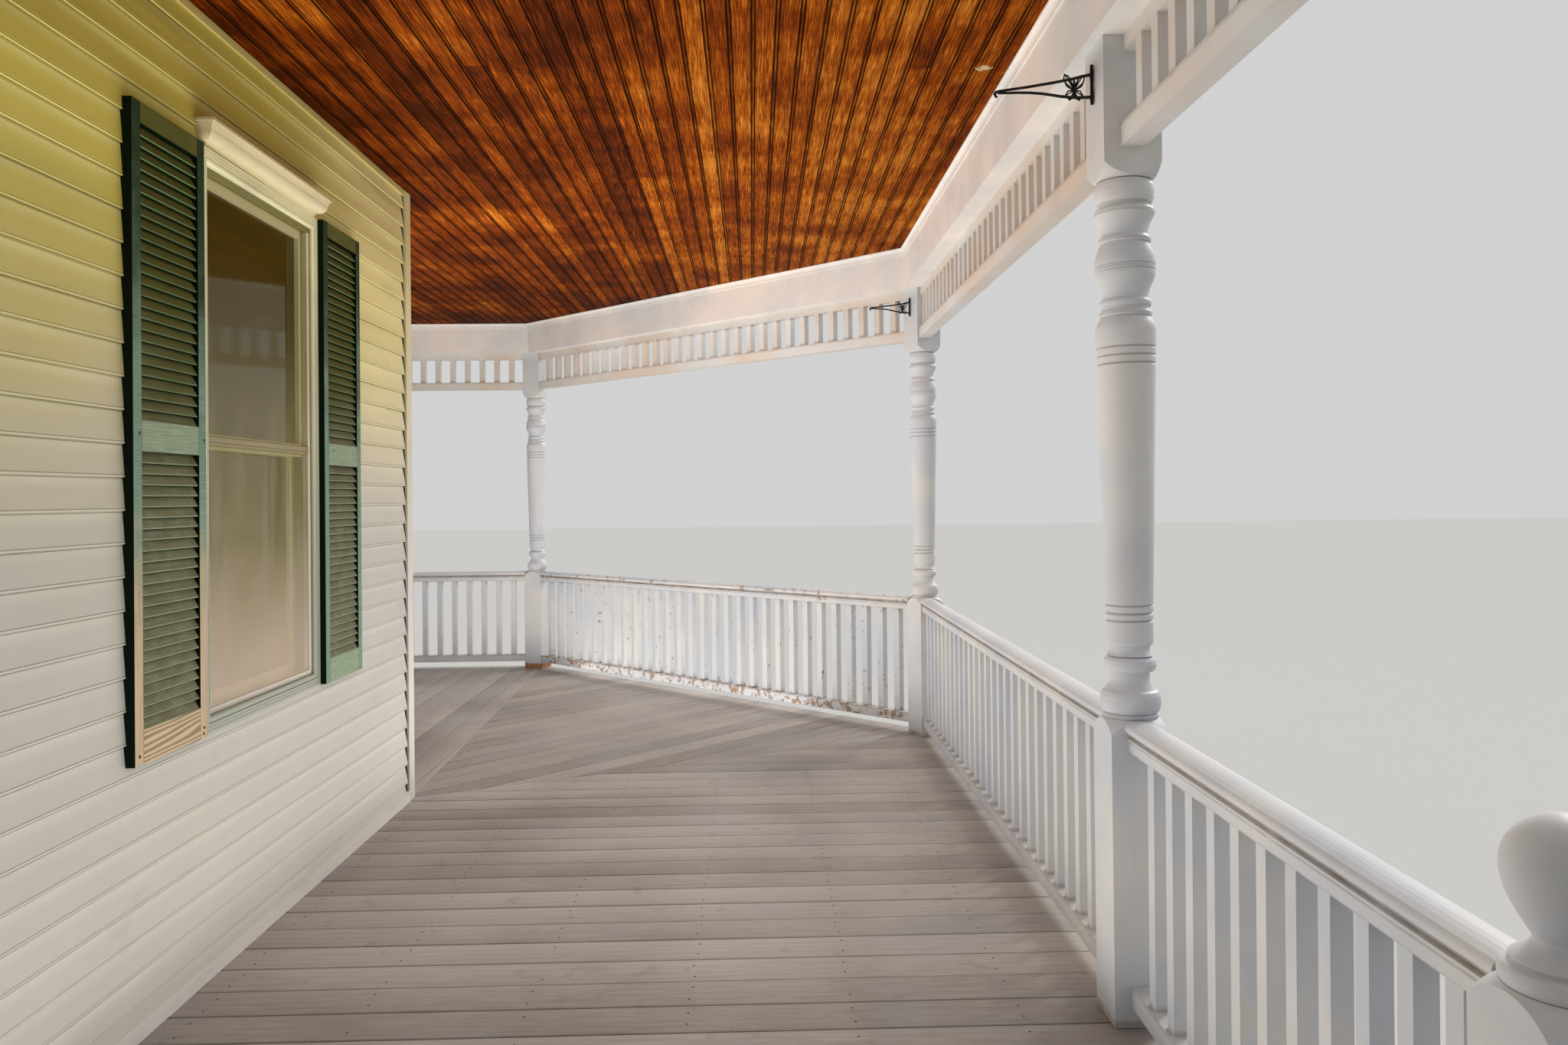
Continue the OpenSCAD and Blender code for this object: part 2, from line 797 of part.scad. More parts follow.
// Plan of a leg's roof, from the house corner out to the eaves
function roof_plan(leg) = let (e = edge(eave_over))
    leg == 0 ? [[0, 0], [0, -front_len], e[0], e[1]] :
    leg == 1 ? [[0, 0], e[1], e[2]] :
    [[0, 0], e[2], e[3], [-side_len, 0]];

module roof_slab(leg) {
    intersection() {
        prism(roof_plan(leg), deck_h, wall_top + far);
        roof_layer(leg, 0, roof_t);
    }
}

// Beam of one leg, cut to the roof above
module beam(leg) {
    difference() {
        prism(strip(leg, -beam_in, beam_out), beam_z, apex_z);
        for (i = [0:2]) {
            roof_layer(i, -fit, far);
        }
    }
}

module beam_front() {
    color(white) place() beam(0);
}

module beam_corner() {
    color(white) place() beam(1);
}

module beam_side() {
    color(white) place() beam(2);
}

module ceiling() {
    color("saddlebrown") place() prism(floor_plan(-beam_in - fit), ceiling_z, ceiling_z + ceiling_t);
}

// Small cove between the beam and the ceiling
module moulding_section() {
    lip = 5;
    polygon(concat([[0, 0], [-lip, 0], [-lip, lip]],
        [for (i = [1:turn_steps]) let (a = 90 * i / turn_steps)
            [-lip - (moulding_out - lip) * (1 - cos(a)), lip + (moulding_h - 2 * lip) * sin(a)]],
        [[-moulding_out, moulding_h], [0, moulding_h]]));
}

module ceiling_moulding() {
    back = -beam_in - fit;
    z = ceiling_z - moulding_h - fit;
    color(white) place() for (leg = [0:2]) {
        intersection() {
            prism(strip(leg, back - moulding_out - 1, back), z, ceiling_z);
            rotate([0, 0, leg_turn[leg]]) translate([leg_depth[leg] + back, far, z])
                rotate([90, 0, 0]) linear_extrude(2 * far) moulding_section();
        }
    }
}

module roof_front() {
    color("dimgray") place() roof_slab(0);
}

module roof_corner() {
    color("dimgray") place() roof_slab(1);
}

module roof_side() {
    color("dimgray") place() roof_slab(2);
}

// Boards that close the eaves: one upright and one flat below
module eave_trim() {
    color(white) place() difference() {
        for (leg = [0:2]) {
            prism(strip(leg, eave_over + fit, eave_over + fascia_t), ceiling_z, eave_z + roof_t);
            prism(strip(leg, beam_out + fit, eave_over), ceiling_z, eave_z - fit);
        }
        mitre_cuts();
    }
}

// Board that closes a cut end of the roof, in x and z from the wall
module roof_end(depth) {
    d = depth + eave_over;
    rotate([90, 0, 0]) linear_extrude(fascia_t - fit)
        polygon([[0, ceiling_z], [d + fascia_t, ceiling_z], [d + fascia_t, eave_z + roof_t],
            [d, eave_z + roof_t], [0, apex_z + roof_t]]);
}

module roof_ends() {
    color(white) place() {
        translate([0, -front_len - fit, 0]) roof_end(front_depth);
        translate([-side_len - fit, 0, 0]) rotate([0, 0, 90]) mirror([0, 1, 0]) roof_end(side_depth);
    }
}

// Fittings

// Ring of an outer radius and a bar width, lying in x and y
module ring(at, r) {
    translate(at) linear_extrude(3) difference() {
        circle(r = r, $fn = 32);
        circle(r = r - 2.5, $fn = 32);
    }
}

// Bar between two points in x and z
module rod(p, q) {
    d = q - p;
    translate([p[0], 0, p[1]]) rotate([0, 90 - atan2(d[1], d[0]), 0])
        cylinder(d = bracket_bar, h = norm(d), $fn = 24);
}

// Bracket that reaches out along x from a plate at x = 0, with a winged ornament between its bars
module plant_bracket() {
    h = bracket_plate_h;
    tip = [bracket_reach, 0.36 * h];
    wing = 0.19 * h;
    mid = [0.42 * h, 0.52 * h];
    box([0, -7, 0], [5, 7, h]);
    rod([3, 0.82 * h], tip);
    rod([3, 0.2 * h], tip);
    rod([bracket_reach - 4, 0.36 * h], [bracket_reach + 10, 0.5 * h]);
    translate([mid[0], 1.5, mid[1]]) rotate([90, 0, 0]) {
        ring([-0.8 * wing, 0.55 * wing, 0], wing);
        ring([0.8 * wing, 0.55 * wing, 0], wing);
        ring([-0.5 * wing, -0.75 * wing, 0], 0.65 * wing);
        ring([0.5 * wing, -0.75 * wing, 0], 0.65 * wing);
        translate([0, -1.4 * wing, 1.5]) rotate([-90, 0, 0]) cylinder(d = 5, h = 2.6 * wing, $fn = 16);
    }
}

// Places a fitting on the inner face of a post block
module on_inner_face(at, z) {
    translate([at[0], at[1], deck_h + z]) rotate([0, 0, 180 + post_turn(at)])
        translate([post_w / 2 + fit, 0, 0]) children();
}

module on_outer_face(at, z) {
    translate([at[0], at[1], deck_h + z]) rotate([0, 0, post_turn(at)])
        translate([post_w / 2 + fit, 0, 0]) children();
}

module plant_bracket_b() {
    color("black") place() on_inner_face(post_b_at, bracket_at) plant_bracket();
}

module plant_bracket_c() {
    color("black") place() on_inner_face(post_c_at, bracket_at) plant_bracket();
}

// Small hooked clip on a plate
module rail_clip() {
    w = clip_w;
    box([0, -w / 2, 0], [4, w / 2, w]);
    box([3, -4, 0.3 * w], [w, 4, 0.3 * w + 5]);
    box([w - 5, -4, 0.3 * w], [w, 4, w]);
}

module rail_clip_b() {
    color("black") place() on_outer_face(post_b_at, rail_h - 85) rail_clip();
}

module rail_clip_c() {
    color("black") place() on_outer_face(post_c_at, rail_h - 85) rail_clip();
}

front_wall();
side_wall();
foundation();
corner_board();
base_trim();
window_frame();
window_sashes();
window_glass();
insect_screen();
window_crown();
shutter_left();
shutter_right();
deck_front();
deck_corner();
deck_side();
floor_frame();
piers();
skirt();
post_a();
post_b();
post_c();
post_d();
post_e();
newel_post();
rail_newel_b();
rail_b_c();
rail_c_d();
rail_d_e();
frieze_a_b();
frieze_b_c();
frieze_c_d();
frieze_d_e();
beam_front();
beam_corner();
beam_side();
ceiling();
ceiling_moulding();
roof_front();
roof_corner();
roof_side();
eave_trim();
roof_ends();
plant_bracket_b();
plant_bracket_c();
rail_clip_b();
rail_clip_c();
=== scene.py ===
import math

import bmesh
import bpy
import numpy as np
from mathutils import Matrix, Vector


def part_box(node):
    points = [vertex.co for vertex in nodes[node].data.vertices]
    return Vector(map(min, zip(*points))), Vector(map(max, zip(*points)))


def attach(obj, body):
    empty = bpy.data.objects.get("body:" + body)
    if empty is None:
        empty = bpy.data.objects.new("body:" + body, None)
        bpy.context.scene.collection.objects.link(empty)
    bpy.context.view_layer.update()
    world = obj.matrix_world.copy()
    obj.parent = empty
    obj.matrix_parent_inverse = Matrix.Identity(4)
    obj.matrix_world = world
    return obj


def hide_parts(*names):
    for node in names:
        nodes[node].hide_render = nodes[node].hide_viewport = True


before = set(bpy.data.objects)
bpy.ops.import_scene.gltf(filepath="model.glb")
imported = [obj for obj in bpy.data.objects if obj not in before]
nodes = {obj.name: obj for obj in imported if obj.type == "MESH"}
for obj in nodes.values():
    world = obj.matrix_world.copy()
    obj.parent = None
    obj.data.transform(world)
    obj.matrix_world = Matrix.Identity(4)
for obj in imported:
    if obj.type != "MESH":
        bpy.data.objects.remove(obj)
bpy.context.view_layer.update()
print("frame loaded:", len(nodes), "nodes")

# Places, all read from the frame


def boxOf(name):
    low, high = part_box(name)
    return np.array(low), np.array(high)


def middleOf(name):
    low, high = boxOf(name)
    return (low + high) / 2


def levelsOf(name):
    low, high = boxOf(name)
    return low[2], high[2]


diagonal = math.sqrt(0.5)
frontWay = np.array([1.0, 0.0])  # points out of the front
slantWay = np.array([diagonal, diagonal])  # points out of the slanting side
sideWay = np.array([0.0, 1.0])
outways = {"front": frontWay, "corner": slantWay, "side": sideWay}
corner = boxOf("foundation")[1][:2]  # house corner in plan
southY = boxOf("front_wall")[0][1]
westX = boxOf("side_wall")[0][0]
cornerBoard = corner[1] - boxOf("corner_board")[0][1]  # width of the corner board's legs
deckUnder, floorZ = levelsOf("deck_front")
ceilingZ, ceilingTop = levelsOf("ceiling")
wallTop = levelsOf("front_wall")[1]
roofAtWall = levelsOf("roof_front")[1]
eaveTop = levelsOf("eave_trim")[1]
beamUnder = levelsOf("beam_front")[0]
screenHead = levelsOf("insect_screen")[1]
postLine = {
    "front": middleOf("post_b")[0],
    "slant": middleOf("post_c")[:2] @ slantWay,
    "side": middleOf("post_e")[1],
}


# How far a piece of the frame reaches past the posts' line
def pastPosts(name):
    return boxOf(name)[1][0] - postLine["front"]


# Corners of the porch's outer edge, moved out by a distance: the slanting line x + y = s sqrt 2
# meets the front line x = f at y = s sqrt 2 - f, and the side line y = d at x = s sqrt 2 - d
def edgeCorners(out, past=0.0):
    front, side = postLine["front"] + out, postLine["side"] + out
    slant = (postLine["slant"] + out) / diagonal
    bends = [front, slant - front], [slant - side, side]
    return np.array([[front, southY - past], *bends, [westX - past, side]])


# Outlines of the porch's three fields in plan, from the house corner to the outer edge
def threeFields(out, past=0.0):
    edge = edgeCorners(out, past)
    return [
        np.array([corner, [corner[0], southY - past], edge[0], edge[1]]),
        np.array([corner, edge[1], edge[2]]),
        np.array([corner, edge[2], edge[3], [westX - past, corner[1]]]),
    ]


# Mesh helpers


# Points from arrays of coordinates that are spread over one another
def join(*arrays):
    return np.stack(np.broadcast_arrays(*arrays), axis=-1)


def raised(plan, z):
    return join(plan[..., 0], plan[..., 1], z)


# A quarter turn to the left in plan
def leftOf(way):
    return np.array([-way[1], way[0]])


# Faces between neighbours of a grid of rows by columns, joined round where the grid closes
def gridFaces(rows, columns, roundRows=False, roundColumns=False):
    i = np.arange(rows - (not roundRows))[:, None]
    j = np.arange(columns - (not roundColumns))
    nextI = (i + 1) % rows
    nextJ = (j + 1) % columns
    quads = [i * columns + j, i * columns + nextJ, nextI * columns + nextJ, nextI * columns + j]
    return np.stack(quads, axis=-1).reshape(-1, 4)


# A part of a piece: its points, its faces as whole blocks, a place along and across the grain for
# each point in metres, and one tone from 0 to 1
def makePart(points, blocks, along=None, tone=0.5):
    flat = points.reshape(-1, 3)
    grain = flat[:, :2] if along is None else along.reshape(-1, 2)
    return {"points": flat, "blocks": blocks, "grain": grain, "tone": np.broadcast_to(tone, len(flat))}


# A closed body from rings of equal count: sides between rings, and a flat face on each end ring
def closedBody(rings, along=None, tone=0.5):
    count, around = rings.shape[:2]
    ends = np.arange(around)
    sides = gridFaces(count, around, roundColumns=True)
    return makePart(rings, [sides, ends[None, ::-1], ends[None] + (count - 1) * around], along, tone)


# Thickens a sheet: the front grid, the back grid with its faces turned, and a wall along each edge
# that only one kept face has
def closedSheet(front, back, keep=None, along=None, tone=0.5):
    rows, columns = front.shape[:2]
    count = rows * columns
    faces = gridFaces(rows, columns)
    faces = faces if keep is None else faces[keep.ravel()]
    starts = faces.ravel()
    stops = np.roll(faces, -1, axis=1).ravel()
    lone = ~np.isin(starts * count + stops, stops * count + starts)
    a, b = starts[lone], stops[lone]
    walls = np.stack([b, a, a + count, b + count], axis=1)
    grain = None if along is None else np.concatenate([along.reshape(-1, 2)] * 2)
    points = np.concatenate([front.reshape(-1, 3), back.reshape(-1, 3)])
    tones = tone if np.ndim(tone) == 0 else np.concatenate([tone.ravel()] * 2)
    return makePart(points, [faces, faces[:, ::-1] + count, walls], grain, tones)


# Joins parts into one piece that rides on the porch; edges over the sharp angle stay crisp
def addPiece(name, parts, material, replaced=(), sharp=40):
    starts = np.cumsum([0] + [len(part["points"]) for part in parts])
    faces = []
    for part, start in zip(parts, starts):
        for block in part["blocks"]:
            faces += (block + start).tolist()
    points = np.concatenate([part["points"] for part in parts])
    used = np.zeros(len(points), bool)
    used[np.concatenate([np.asarray(face) for face in faces])] = True
    renumber = np.cumsum(used) - 1
    mesh = bpy.data.meshes.new(name)
    mesh.from_pydata(points[used], [], [renumber[face].tolist() for face in faces])
    shell = bmesh.new()
    shell.from_mesh(mesh)
    bmesh.ops.recalc_face_normals(shell, faces=shell.faces)
    shell.to_mesh(mesh)
    shell.free()
    grain = np.concatenate([part["grain"] for part in parts])[used]
    tone = np.concatenate([part["tone"] for part in parts])[used]
    loopPoint = np.zeros(len(mesh.loops), np.int32)
    mesh.loops.foreach_get("vertex_index", loopPoint)
    mesh.uv_layers.new(name="grain").data.foreach_set("uv", grain[loopPoint].astype(np.float32).ravel())
    mesh.attributes.new("tone", "FLOAT", "POINT").data.foreach_set("value", tone.astype(np.float32))
    mesh.shade_smooth()
    mesh.set_sharp_from_angle(angle=math.radians(sharp))
    mesh.materials.append(materials[material])
    piece = bpy.data.objects.new(name, mesh)
    bpy.context.scene.collection.objects.link(piece)
    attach(piece, "root")
    if replaced:
        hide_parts(*replaced)
    print("made", name, "with", len(mesh.polygons), "faces")


# Cuts an outline by a line and keeps where p . normal <= reach. A side that passes the line gets a
# point at p + (q - p) d(p) / (d(p) - d(q)), where d is the distance past the line
def cutOutline(outline, normal, reach):
    d = outline @ np.asarray(normal) - reach
    after = np.roll(d, -1)
    passes = (d > 0) != (after > 0)
    share = np.where(passes, d / np.where(passes, d - after, 1), 0)
    crossing = outline + (np.roll(outline, -1, axis=0) - outline) * share[:, None]
    both = np.stack([outline, crossing], axis=1).reshape(-1, 2)
    return both[np.stack([d <= 0, passes], axis=1).ravel()]


# The band of an outline from low to high along a way
def bandOf(outline, way, low, high):
    return cutOutline(cutOutline(outline, way, high), -way, -low)


# Unit normals that point inwards from an outline's sides
def inwardOf(outline):
    side = np.roll(outline, -1, axis=0) - outline
    return np.stack([-side[:, 1], side[:, 0]], axis=1) / np.linalg.norm(side, axis=1, keepdims=True)


# Rings of an outline: ring k is moved in by inset[k]. A corner moves by (n1 + n2) / (1 + n1 . n2),
# where n1 and n2 point inwards from its two sides
def insetRings(outline, inset):
    normal = inwardOf(outline)
    before = np.roll(normal, 1, axis=0)
    move = (before + normal) / (1 + (before * normal).sum(axis=1, keepdims=True))
    return outline[None] + np.asarray(inset)[:, None, None] * move[None]


# Drops corners closer than a millimetre to the next one, and outlines with almost no area
def tidyOutline(outline, leastSide=0.001, leastArea=0.0004):
    gap = np.linalg.norm(np.roll(outline, -1, axis=0) - outline, axis=1)
    x, y = outline[gap > leastSide].T
    area = (x * np.roll(y, -1) - y * np.roll(x, -1)).sum() / 2
    return join(x, y) if area > leastArea else None


# A board lying flat: the outline in plan, with an eased top edge of three small steps
def flatBoard(outline, low, high, ease, grainWay, shift, tone):
    rings = insetRings(outline, [0, 0, 0.3 * ease, ease])
    heights = np.array([low, high - ease, high - 0.3 * ease, high])
    along = join(rings @ grainWay, rings @ leftOf(grainWay)) + shift
    return closedBody(raised(rings, heights[:, None]), along, tone)


# Shader helpers


# Turns a colour picked on a screen, 0 to 255, into the linear values that a shader works with
def shade(red, green, blue):
    value = np.array([red, green, blue]) / 255
    linear = np.where(value <= 0.04045, value / 12.92, ((value + 0.055) / 1.055) ** 2.4)
    return (*linear.tolist(), 1.0)


# Links a value to a socket, or sets the socket's own constant
def put(socket, value):
    if isinstance(value, Value):
        value.tree.links.new(value.socket, socket)
    else:
        socket.default_value = value


def addNode(tree, kind, inputs=None, **settings):
    node = tree.nodes.new("ShaderNode" + kind)
    for key, value in settings.items():
        setattr(node, key, value)
    for key, value in (inputs or {}).items():
        put(node.inputs[key], value)
    return node


# An output of a node. Arithmetic on it adds the nodes that work the result out
class Value:
    def __init__(self, node, key=0):
        self.tree = node.id_data
        self.socket = node.outputs[key]

    def math(self, operation, *others):
        return Value(addNode(self.tree, "Math", dict(enumerate((self, *others))), operation=operation))

    def __add__(self, other):
        return self.math("ADD", other)

    def __sub__(self, other):
        return self.math("SUBTRACT", other)

    def __mul__(self, other):
        return self.math("MULTIPLY", other)

    def __truediv__(self, other):
        return self.math("DIVIDE", other)

    def __abs__(self):
        return self.math("ABSOLUTE")

    def most(self, other):
        return self.math("MAXIMUM", other)

    # Smooth step from 0 to 1 between two values; a low over a high turns it round
    def rise(self, low, high):
        inputs = {"Value": self, "From Min": low, "From Max": high}
        return Value(addNode(self.tree, "MapRange", inputs, interpolation_type="SMOOTHSTEP"))

    # 1 between two values, with a soft step at each
    def between(self, low, high, soft):
        return self.rise(low - soft, low) * self.rise(high + soft, high)


def mix(factor, first, second, blend="MIX"):
    tree = factor.tree if isinstance(factor, Value) else first.tree
    inputs = {0: factor, 6: first, 7: second}
    return Value(addNode(tree, "Mix", inputs, data_type="RGBA", blend_type=blend), 2)


def noise(vector, scale, detail=3.0, rough=0.55, twist=0.0):
    inputs = {"Vector": vector, "Scale": scale, "Detail": detail, "Roughness": rough, "Distortion": twist}
    return Value(addNode(vector.tree, "TexNoise", inputs))


def split(vector):
    node = addNode(vector.tree, "SeparateXYZ", {0: vector})
    return [Value(node, k) for k in range(3)]


def vectorOf(x, y, z):
    return Value(addNode(x.tree, "CombineXYZ", {0: x, 1: y, 2: z}))


# A place turned so that its x runs along the grain
def turned(vector, grain):
    degrees = {"x": (0, 0, 0), "y": (0, 0, -90), "z": (0, 90, 0), "slant": (0, 0, 45)}[grain]
    inputs = {"Vector": vector, "Rotation": np.radians(degrees).tolist()}
    return Value(addNode(vector.tree, "Mapping", inputs))


# A shared effect: the usual value of each input, where None is a place and a tuple a colour, and the
# kind of each output
def newGroup(name, inputs, outputs):
    tree = bpy.data.node_groups.new(name, "ShaderNodeTree")
    for label, value in inputs.items():
        kind = "Vector" if value is None else "Color" if isinstance(value, tuple) else "Float"
        socket = tree.interface.new_socket(name=label, in_out="INPUT", socket_type="NodeSocket" + kind)
        if value is not None:
            socket.default_value = value
    for label, kind in outputs.items():
        tree.interface.new_socket(name=label, in_out="OUTPUT", socket_type="NodeSocket" + kind)
    given = tree.nodes.new("NodeGroupInput")
    result = tree.nodes.new("NodeGroupOutput")
    return tree, [Value(given, label) for label in inputs], result.inputs


# Wood grain along the vector's x: fine streaks, and broad growth rings that waver
def makeGrainGroup():
    inputs = {"Vector": None, "Streaks": 160.0, "Rings": 22.0, "Waver": 3.0}
    tree, given, result = newGroup("woodGrain", inputs, {"Streak": "Float", "Ring": "Float"})
    place, streaks, rings, waver = given
    x, y, z = split(place)
    streak = noise(vectorOf(x * 0.03, y, z), streaks, 4.0, 0.62)
    put(result["Streak"], streak.rise(0.3, 0.7))
    sway = noise(vectorOf(x * 0.12, y, z), 9.0, 2.0, 0.5) * waver
    wave = (((y + z) * rings + sway) * (2 * math.pi)).math("SINE")
    put(result["Ring"], wave.rise(-0.9, 1.0))
    return tree


# Patches where a cloud is over a level; stretch pulls them out along the vector's x
def makePatchGroup():
    inputs = {"Vector": None, "Scale": 8.0, "Stretch": 1.0, "Level": 0.6, "Soft": 0.05}
    tree, given, result = newGroup("patches", inputs, {"Mask": "Float"})
    place, scale, stretch, level, soft = given
    x, y, z = split(place)
    cloud = noise(vectorOf(x / stretch, y, z), scale, 6.0, 0.62)
    put(result["Mask"], cloud.rise(level - soft, level + soft))
    return tree


# Slow drift of a colour's lightness over a surface, plus a shift by each board's own tone
def makeDriftGroup():
    inputs = {"Color": (1, 1, 1, 1), "Vector": None, "Tone": 0.5, "Scale": 1.5, "Amount": 0.1, "ByTone": 0.0}
    tree, given, result = newGroup("toneDrift", inputs, {"Color": "Color"})
    colour, place, tone, scale, amount, byTone = given
    drift = (noise(place, scale, 4.0, 0.6) - 0.5) * 2.6 * amount
    level = drift + (tone - 0.5) * byTone + 1.0
    grey = Value(addNode(tree, "CombineColor", {0: level, 1: level, 2: level}))
    put(result["Color"], mix(1.0, colour, grey, "MULTIPLY"))
    return tree


# Soft band round one level: 1 within half of it, falling to 0 over the soft distance
def makeBandGroup():
    inputs = {"Value": 0.0, "Level": 0.0, "Half": 0.005, "Soft": 0.01}
    tree, (value, level, half, soft), result = newGroup("levelBand", inputs, {"Mask": "Float"})
    put(result["Mask"], abs(value - level).rise(half + soft, half))
    return tree


grainGroup = makeGrainGroup()
patchGroup = makePatchGroup()
driftGroup = makeDriftGroup()
bandGroup = makeBandGroup()


# An empty material with its shader, its object place, its height and its place along the grain
class Finish:
    def __init__(self, name, grain="uv"):
        self.material = bpy.data.materials.new(name)
        self.material.use_nodes = True
        self.tree = self.material.node_tree
        self.shader = self.tree.nodes["Principled BSDF"]
        place = addNode(self.tree, "TexCoord")
        self.at = Value(place, "Object")
        self.x, self.y, self.height = split(self.at)
        self.along = Value(place, "UV") if grain == "uv" else turned(self.at, grain)
        self.tone = Value(addNode(self.tree, "Attribute", attribute_name="tone"), "Fac")

    def effect(self, group, output, **inputs):
        return Value(addNode(self.tree, "Group", inputs, node_tree=group), output)

    # Mask of spots; stretched ones lie along the grain
    def patches(self, scale, level, soft, stretch=1.0):
        vector = self.at if stretch == 1.0 else self.along
        return self.effect(patchGroup, "Mask", Vector=vector, Scale=scale, Stretch=stretch, Level=level,
                           Soft=soft)

    def spots(self, colour, second, share, *shape):
        return mix(self.patches(*shape) * share, colour, second)

    def drift(self, colour, scale, amount, byTone=0.0):
        return self.effect(driftGroup, "Color", Color=colour, Vector=self.at, Tone=self.tone, Scale=scale,
                           Amount=amount, ByTone=byTone)

    def band(self, level, half, soft):
        return self.effect(bandGroup, "Mask", Value=self.height, Level=level, Half=half, Soft=soft)

    def grain(self, streaks, rings, waver=3.0, along=None):
        inputs = {"Vector": along or self.along, "Streaks": streaks, "Rings": rings, "Waver": waver}
        node = addNode(self.tree, "Group", inputs, node_tree=grainGroup)
        return Value(node, "Streak"), Value(node, "Ring")

    def set(self, socket, value):
        put(self.shader.inputs[socket], value)

    def close(self, colour, roughness, height=None, depth=0.001):
        self.set("Base Color", colour)
        self.set("Roughness", roughness)
        if height is not None:
            inputs = {"Strength": 1.0, "Distance": depth, "Height": height}
            self.set("Normal", Value(addNode(self.tree, "Bump", inputs)))
        return self.material


# Materials. Spots are given as their share, scale, level, soft edge and stretch along the grain, and
# dirt and painted shade, and peeling, at a level as the level, half its width, its soft edge and its strength

paintLook = {
    # The cool, plain and dim tints are darker copies of the white paint, painted shade on posts, rails and
    # friezes; pale and warm are a lighter copy, painted light on the beams
    "shadedCool": shade(188, 192, 199),
    "plain": shade(202, 201, 199),
    "shadedDim": shade(202, 188, 175),
    "pale": shade(218, 217, 216),
    "warm": shade(236, 228, 221),
    # dirt, which also colours painted shade at given levels
    "dirtAndShade": shade(120, 96, 70),
    "wood": shade(150, 112, 84),
    "grey": shade(150, 142, 130),
    "rotDark": shade(112, 66, 38),
    "rotPale": shade(190, 140, 96),
    "smudges": (0.07, 6.0, 0.56, 0.16),
    "cracks": (0.10, 70.0, 0.69, 0.02, 16.0),
    "specks": (0.35, 150.0, 0.735, 0.012),
    "flakesFrom": 0.70,
    "rotTo": 0.078,  # above the rot's level
}


# White paint on wood: a drift between two tints, which are shaded and lit copies of the white, painted shade
# and painted light, brush marks, smudges, hairline cracks, flakes that show grey and brown wood, darker bands
# at given levels, which are dirt and painted shade under rail noses and in grooves, and rot up from a level.
# The sag is the fall of a rail's levels along y, and the y that it starts from
def paintedWood(name, grain, dirtAndShadeLevels=(), peel=0.0, peelLevels=(), rotLevel=None, sag=(0.0, 0.0),
                lightAndShadeTints=("shadedCool", "plain")):
    finish = Finish(name, grain)
    look = paintLook
    finish.height = finish.height - (finish.y - sag[1]) * sag[0]
    # the two tints are painted shade on posts, rails and friezes and painted light on the beams
    colour = mix(noise(finish.at, 2.2).rise(0.35, 0.65), look[lightAndShadeTints[0]], look[lightAndShadeTints[1]])
    colour = finish.drift(colour, 5.0, 0.02)
    for kind in ("smudges", "cracks", "specks"):
        colour = finish.spots(colour, look["dirtAndShade"], *look[kind])
    streaky = noise(finish.at, 17.0, 4.0) * 1.3 - 0.05
    # darker bands at given levels: dirt, and painted shade under the handrail's nose and in the turnings'
    # grooves
    for level, half, soft, strength in dirtAndShadeLevels:
        colour = mix(finish.band(level, half, soft) * strength * streaky, colour, look["dirtAndShade"])
    streak = finish.grain(210.0, 40.0)[0]
    surface = streak * 0.12
    rough = noise(finish.at, 9.0) * 0.25 + 0.34
    for level, half, soft, strength in peelLevels:
        peel = finish.band(level, half, soft) * strength + peel
    if peel:
        flake = noise(finish.along, 26.0, 6.0, 0.68) + peel
        flake = flake.rise(look["flakesFrom"], look["flakesFrom"] + 0.025)
        colour = mix(flake, colour, mix(streak, look["grey"], look["wood"]))
        surface = surface - flake * 0.9
        rough = rough.most(flake * 0.85)
    if rotLevel is not None:
        edge = noise(finish.at, 22.0, 5.0, 0.7) * 0.07 + finish.height
        rot = edge.rise(rotLevel + look["rotTo"], rotLevel + look["rotTo"] - 0.014)
        colour = mix(rot, colour, mix(noise(finish.at, 45.0, 5.0), look["rotDark"], look["rotPale"]))
        surface = surface - rot * 2.0
        rough = rough.most(rot * 0.9)
    return finish.close(colour, rough, surface, 0.0006)


sidingLook = {
    # The yellower upper colour is painted shade and reflected ceiling light; the pale colour towards the
    # corner is painted light
    "upper": shade(202, 188, 87),
    "lower": shade(188, 186, 178),
    "litNearCorner": shade(240, 227, 166),
    "dirtAndShade": shade(84, 72, 34),
    "lit": shade(226, 220, 150),
    "litBelow": shade(212, 208, 198),
    "underLapLight": 0.52,  # painted light: how far the top of each course pales under the lap
    "endShadow": 0.028,
    "cornerGapShadow": shade(34, 28, 14),
    "turn": (0.80, 2.30),  # heights above the floor between which lower turns to upper
    "cornerLightSpan": (-0.75, 0.45),  # y between which it pales towards the corner, painted light
    "specks": (0.45, 210.0, 0.76, 0.01),
    "scuffs": (0.14, 6.0, 0.66, 0.08, 4.0),
}


# Share of the upper colour at a height; the turn between lower and upper colours is painted light and shade
def lightTurnOf(finish):
    return finish.height.rise(floorZ + sidingLook["turn"][0], floorZ + sidingLook["turn"][1])


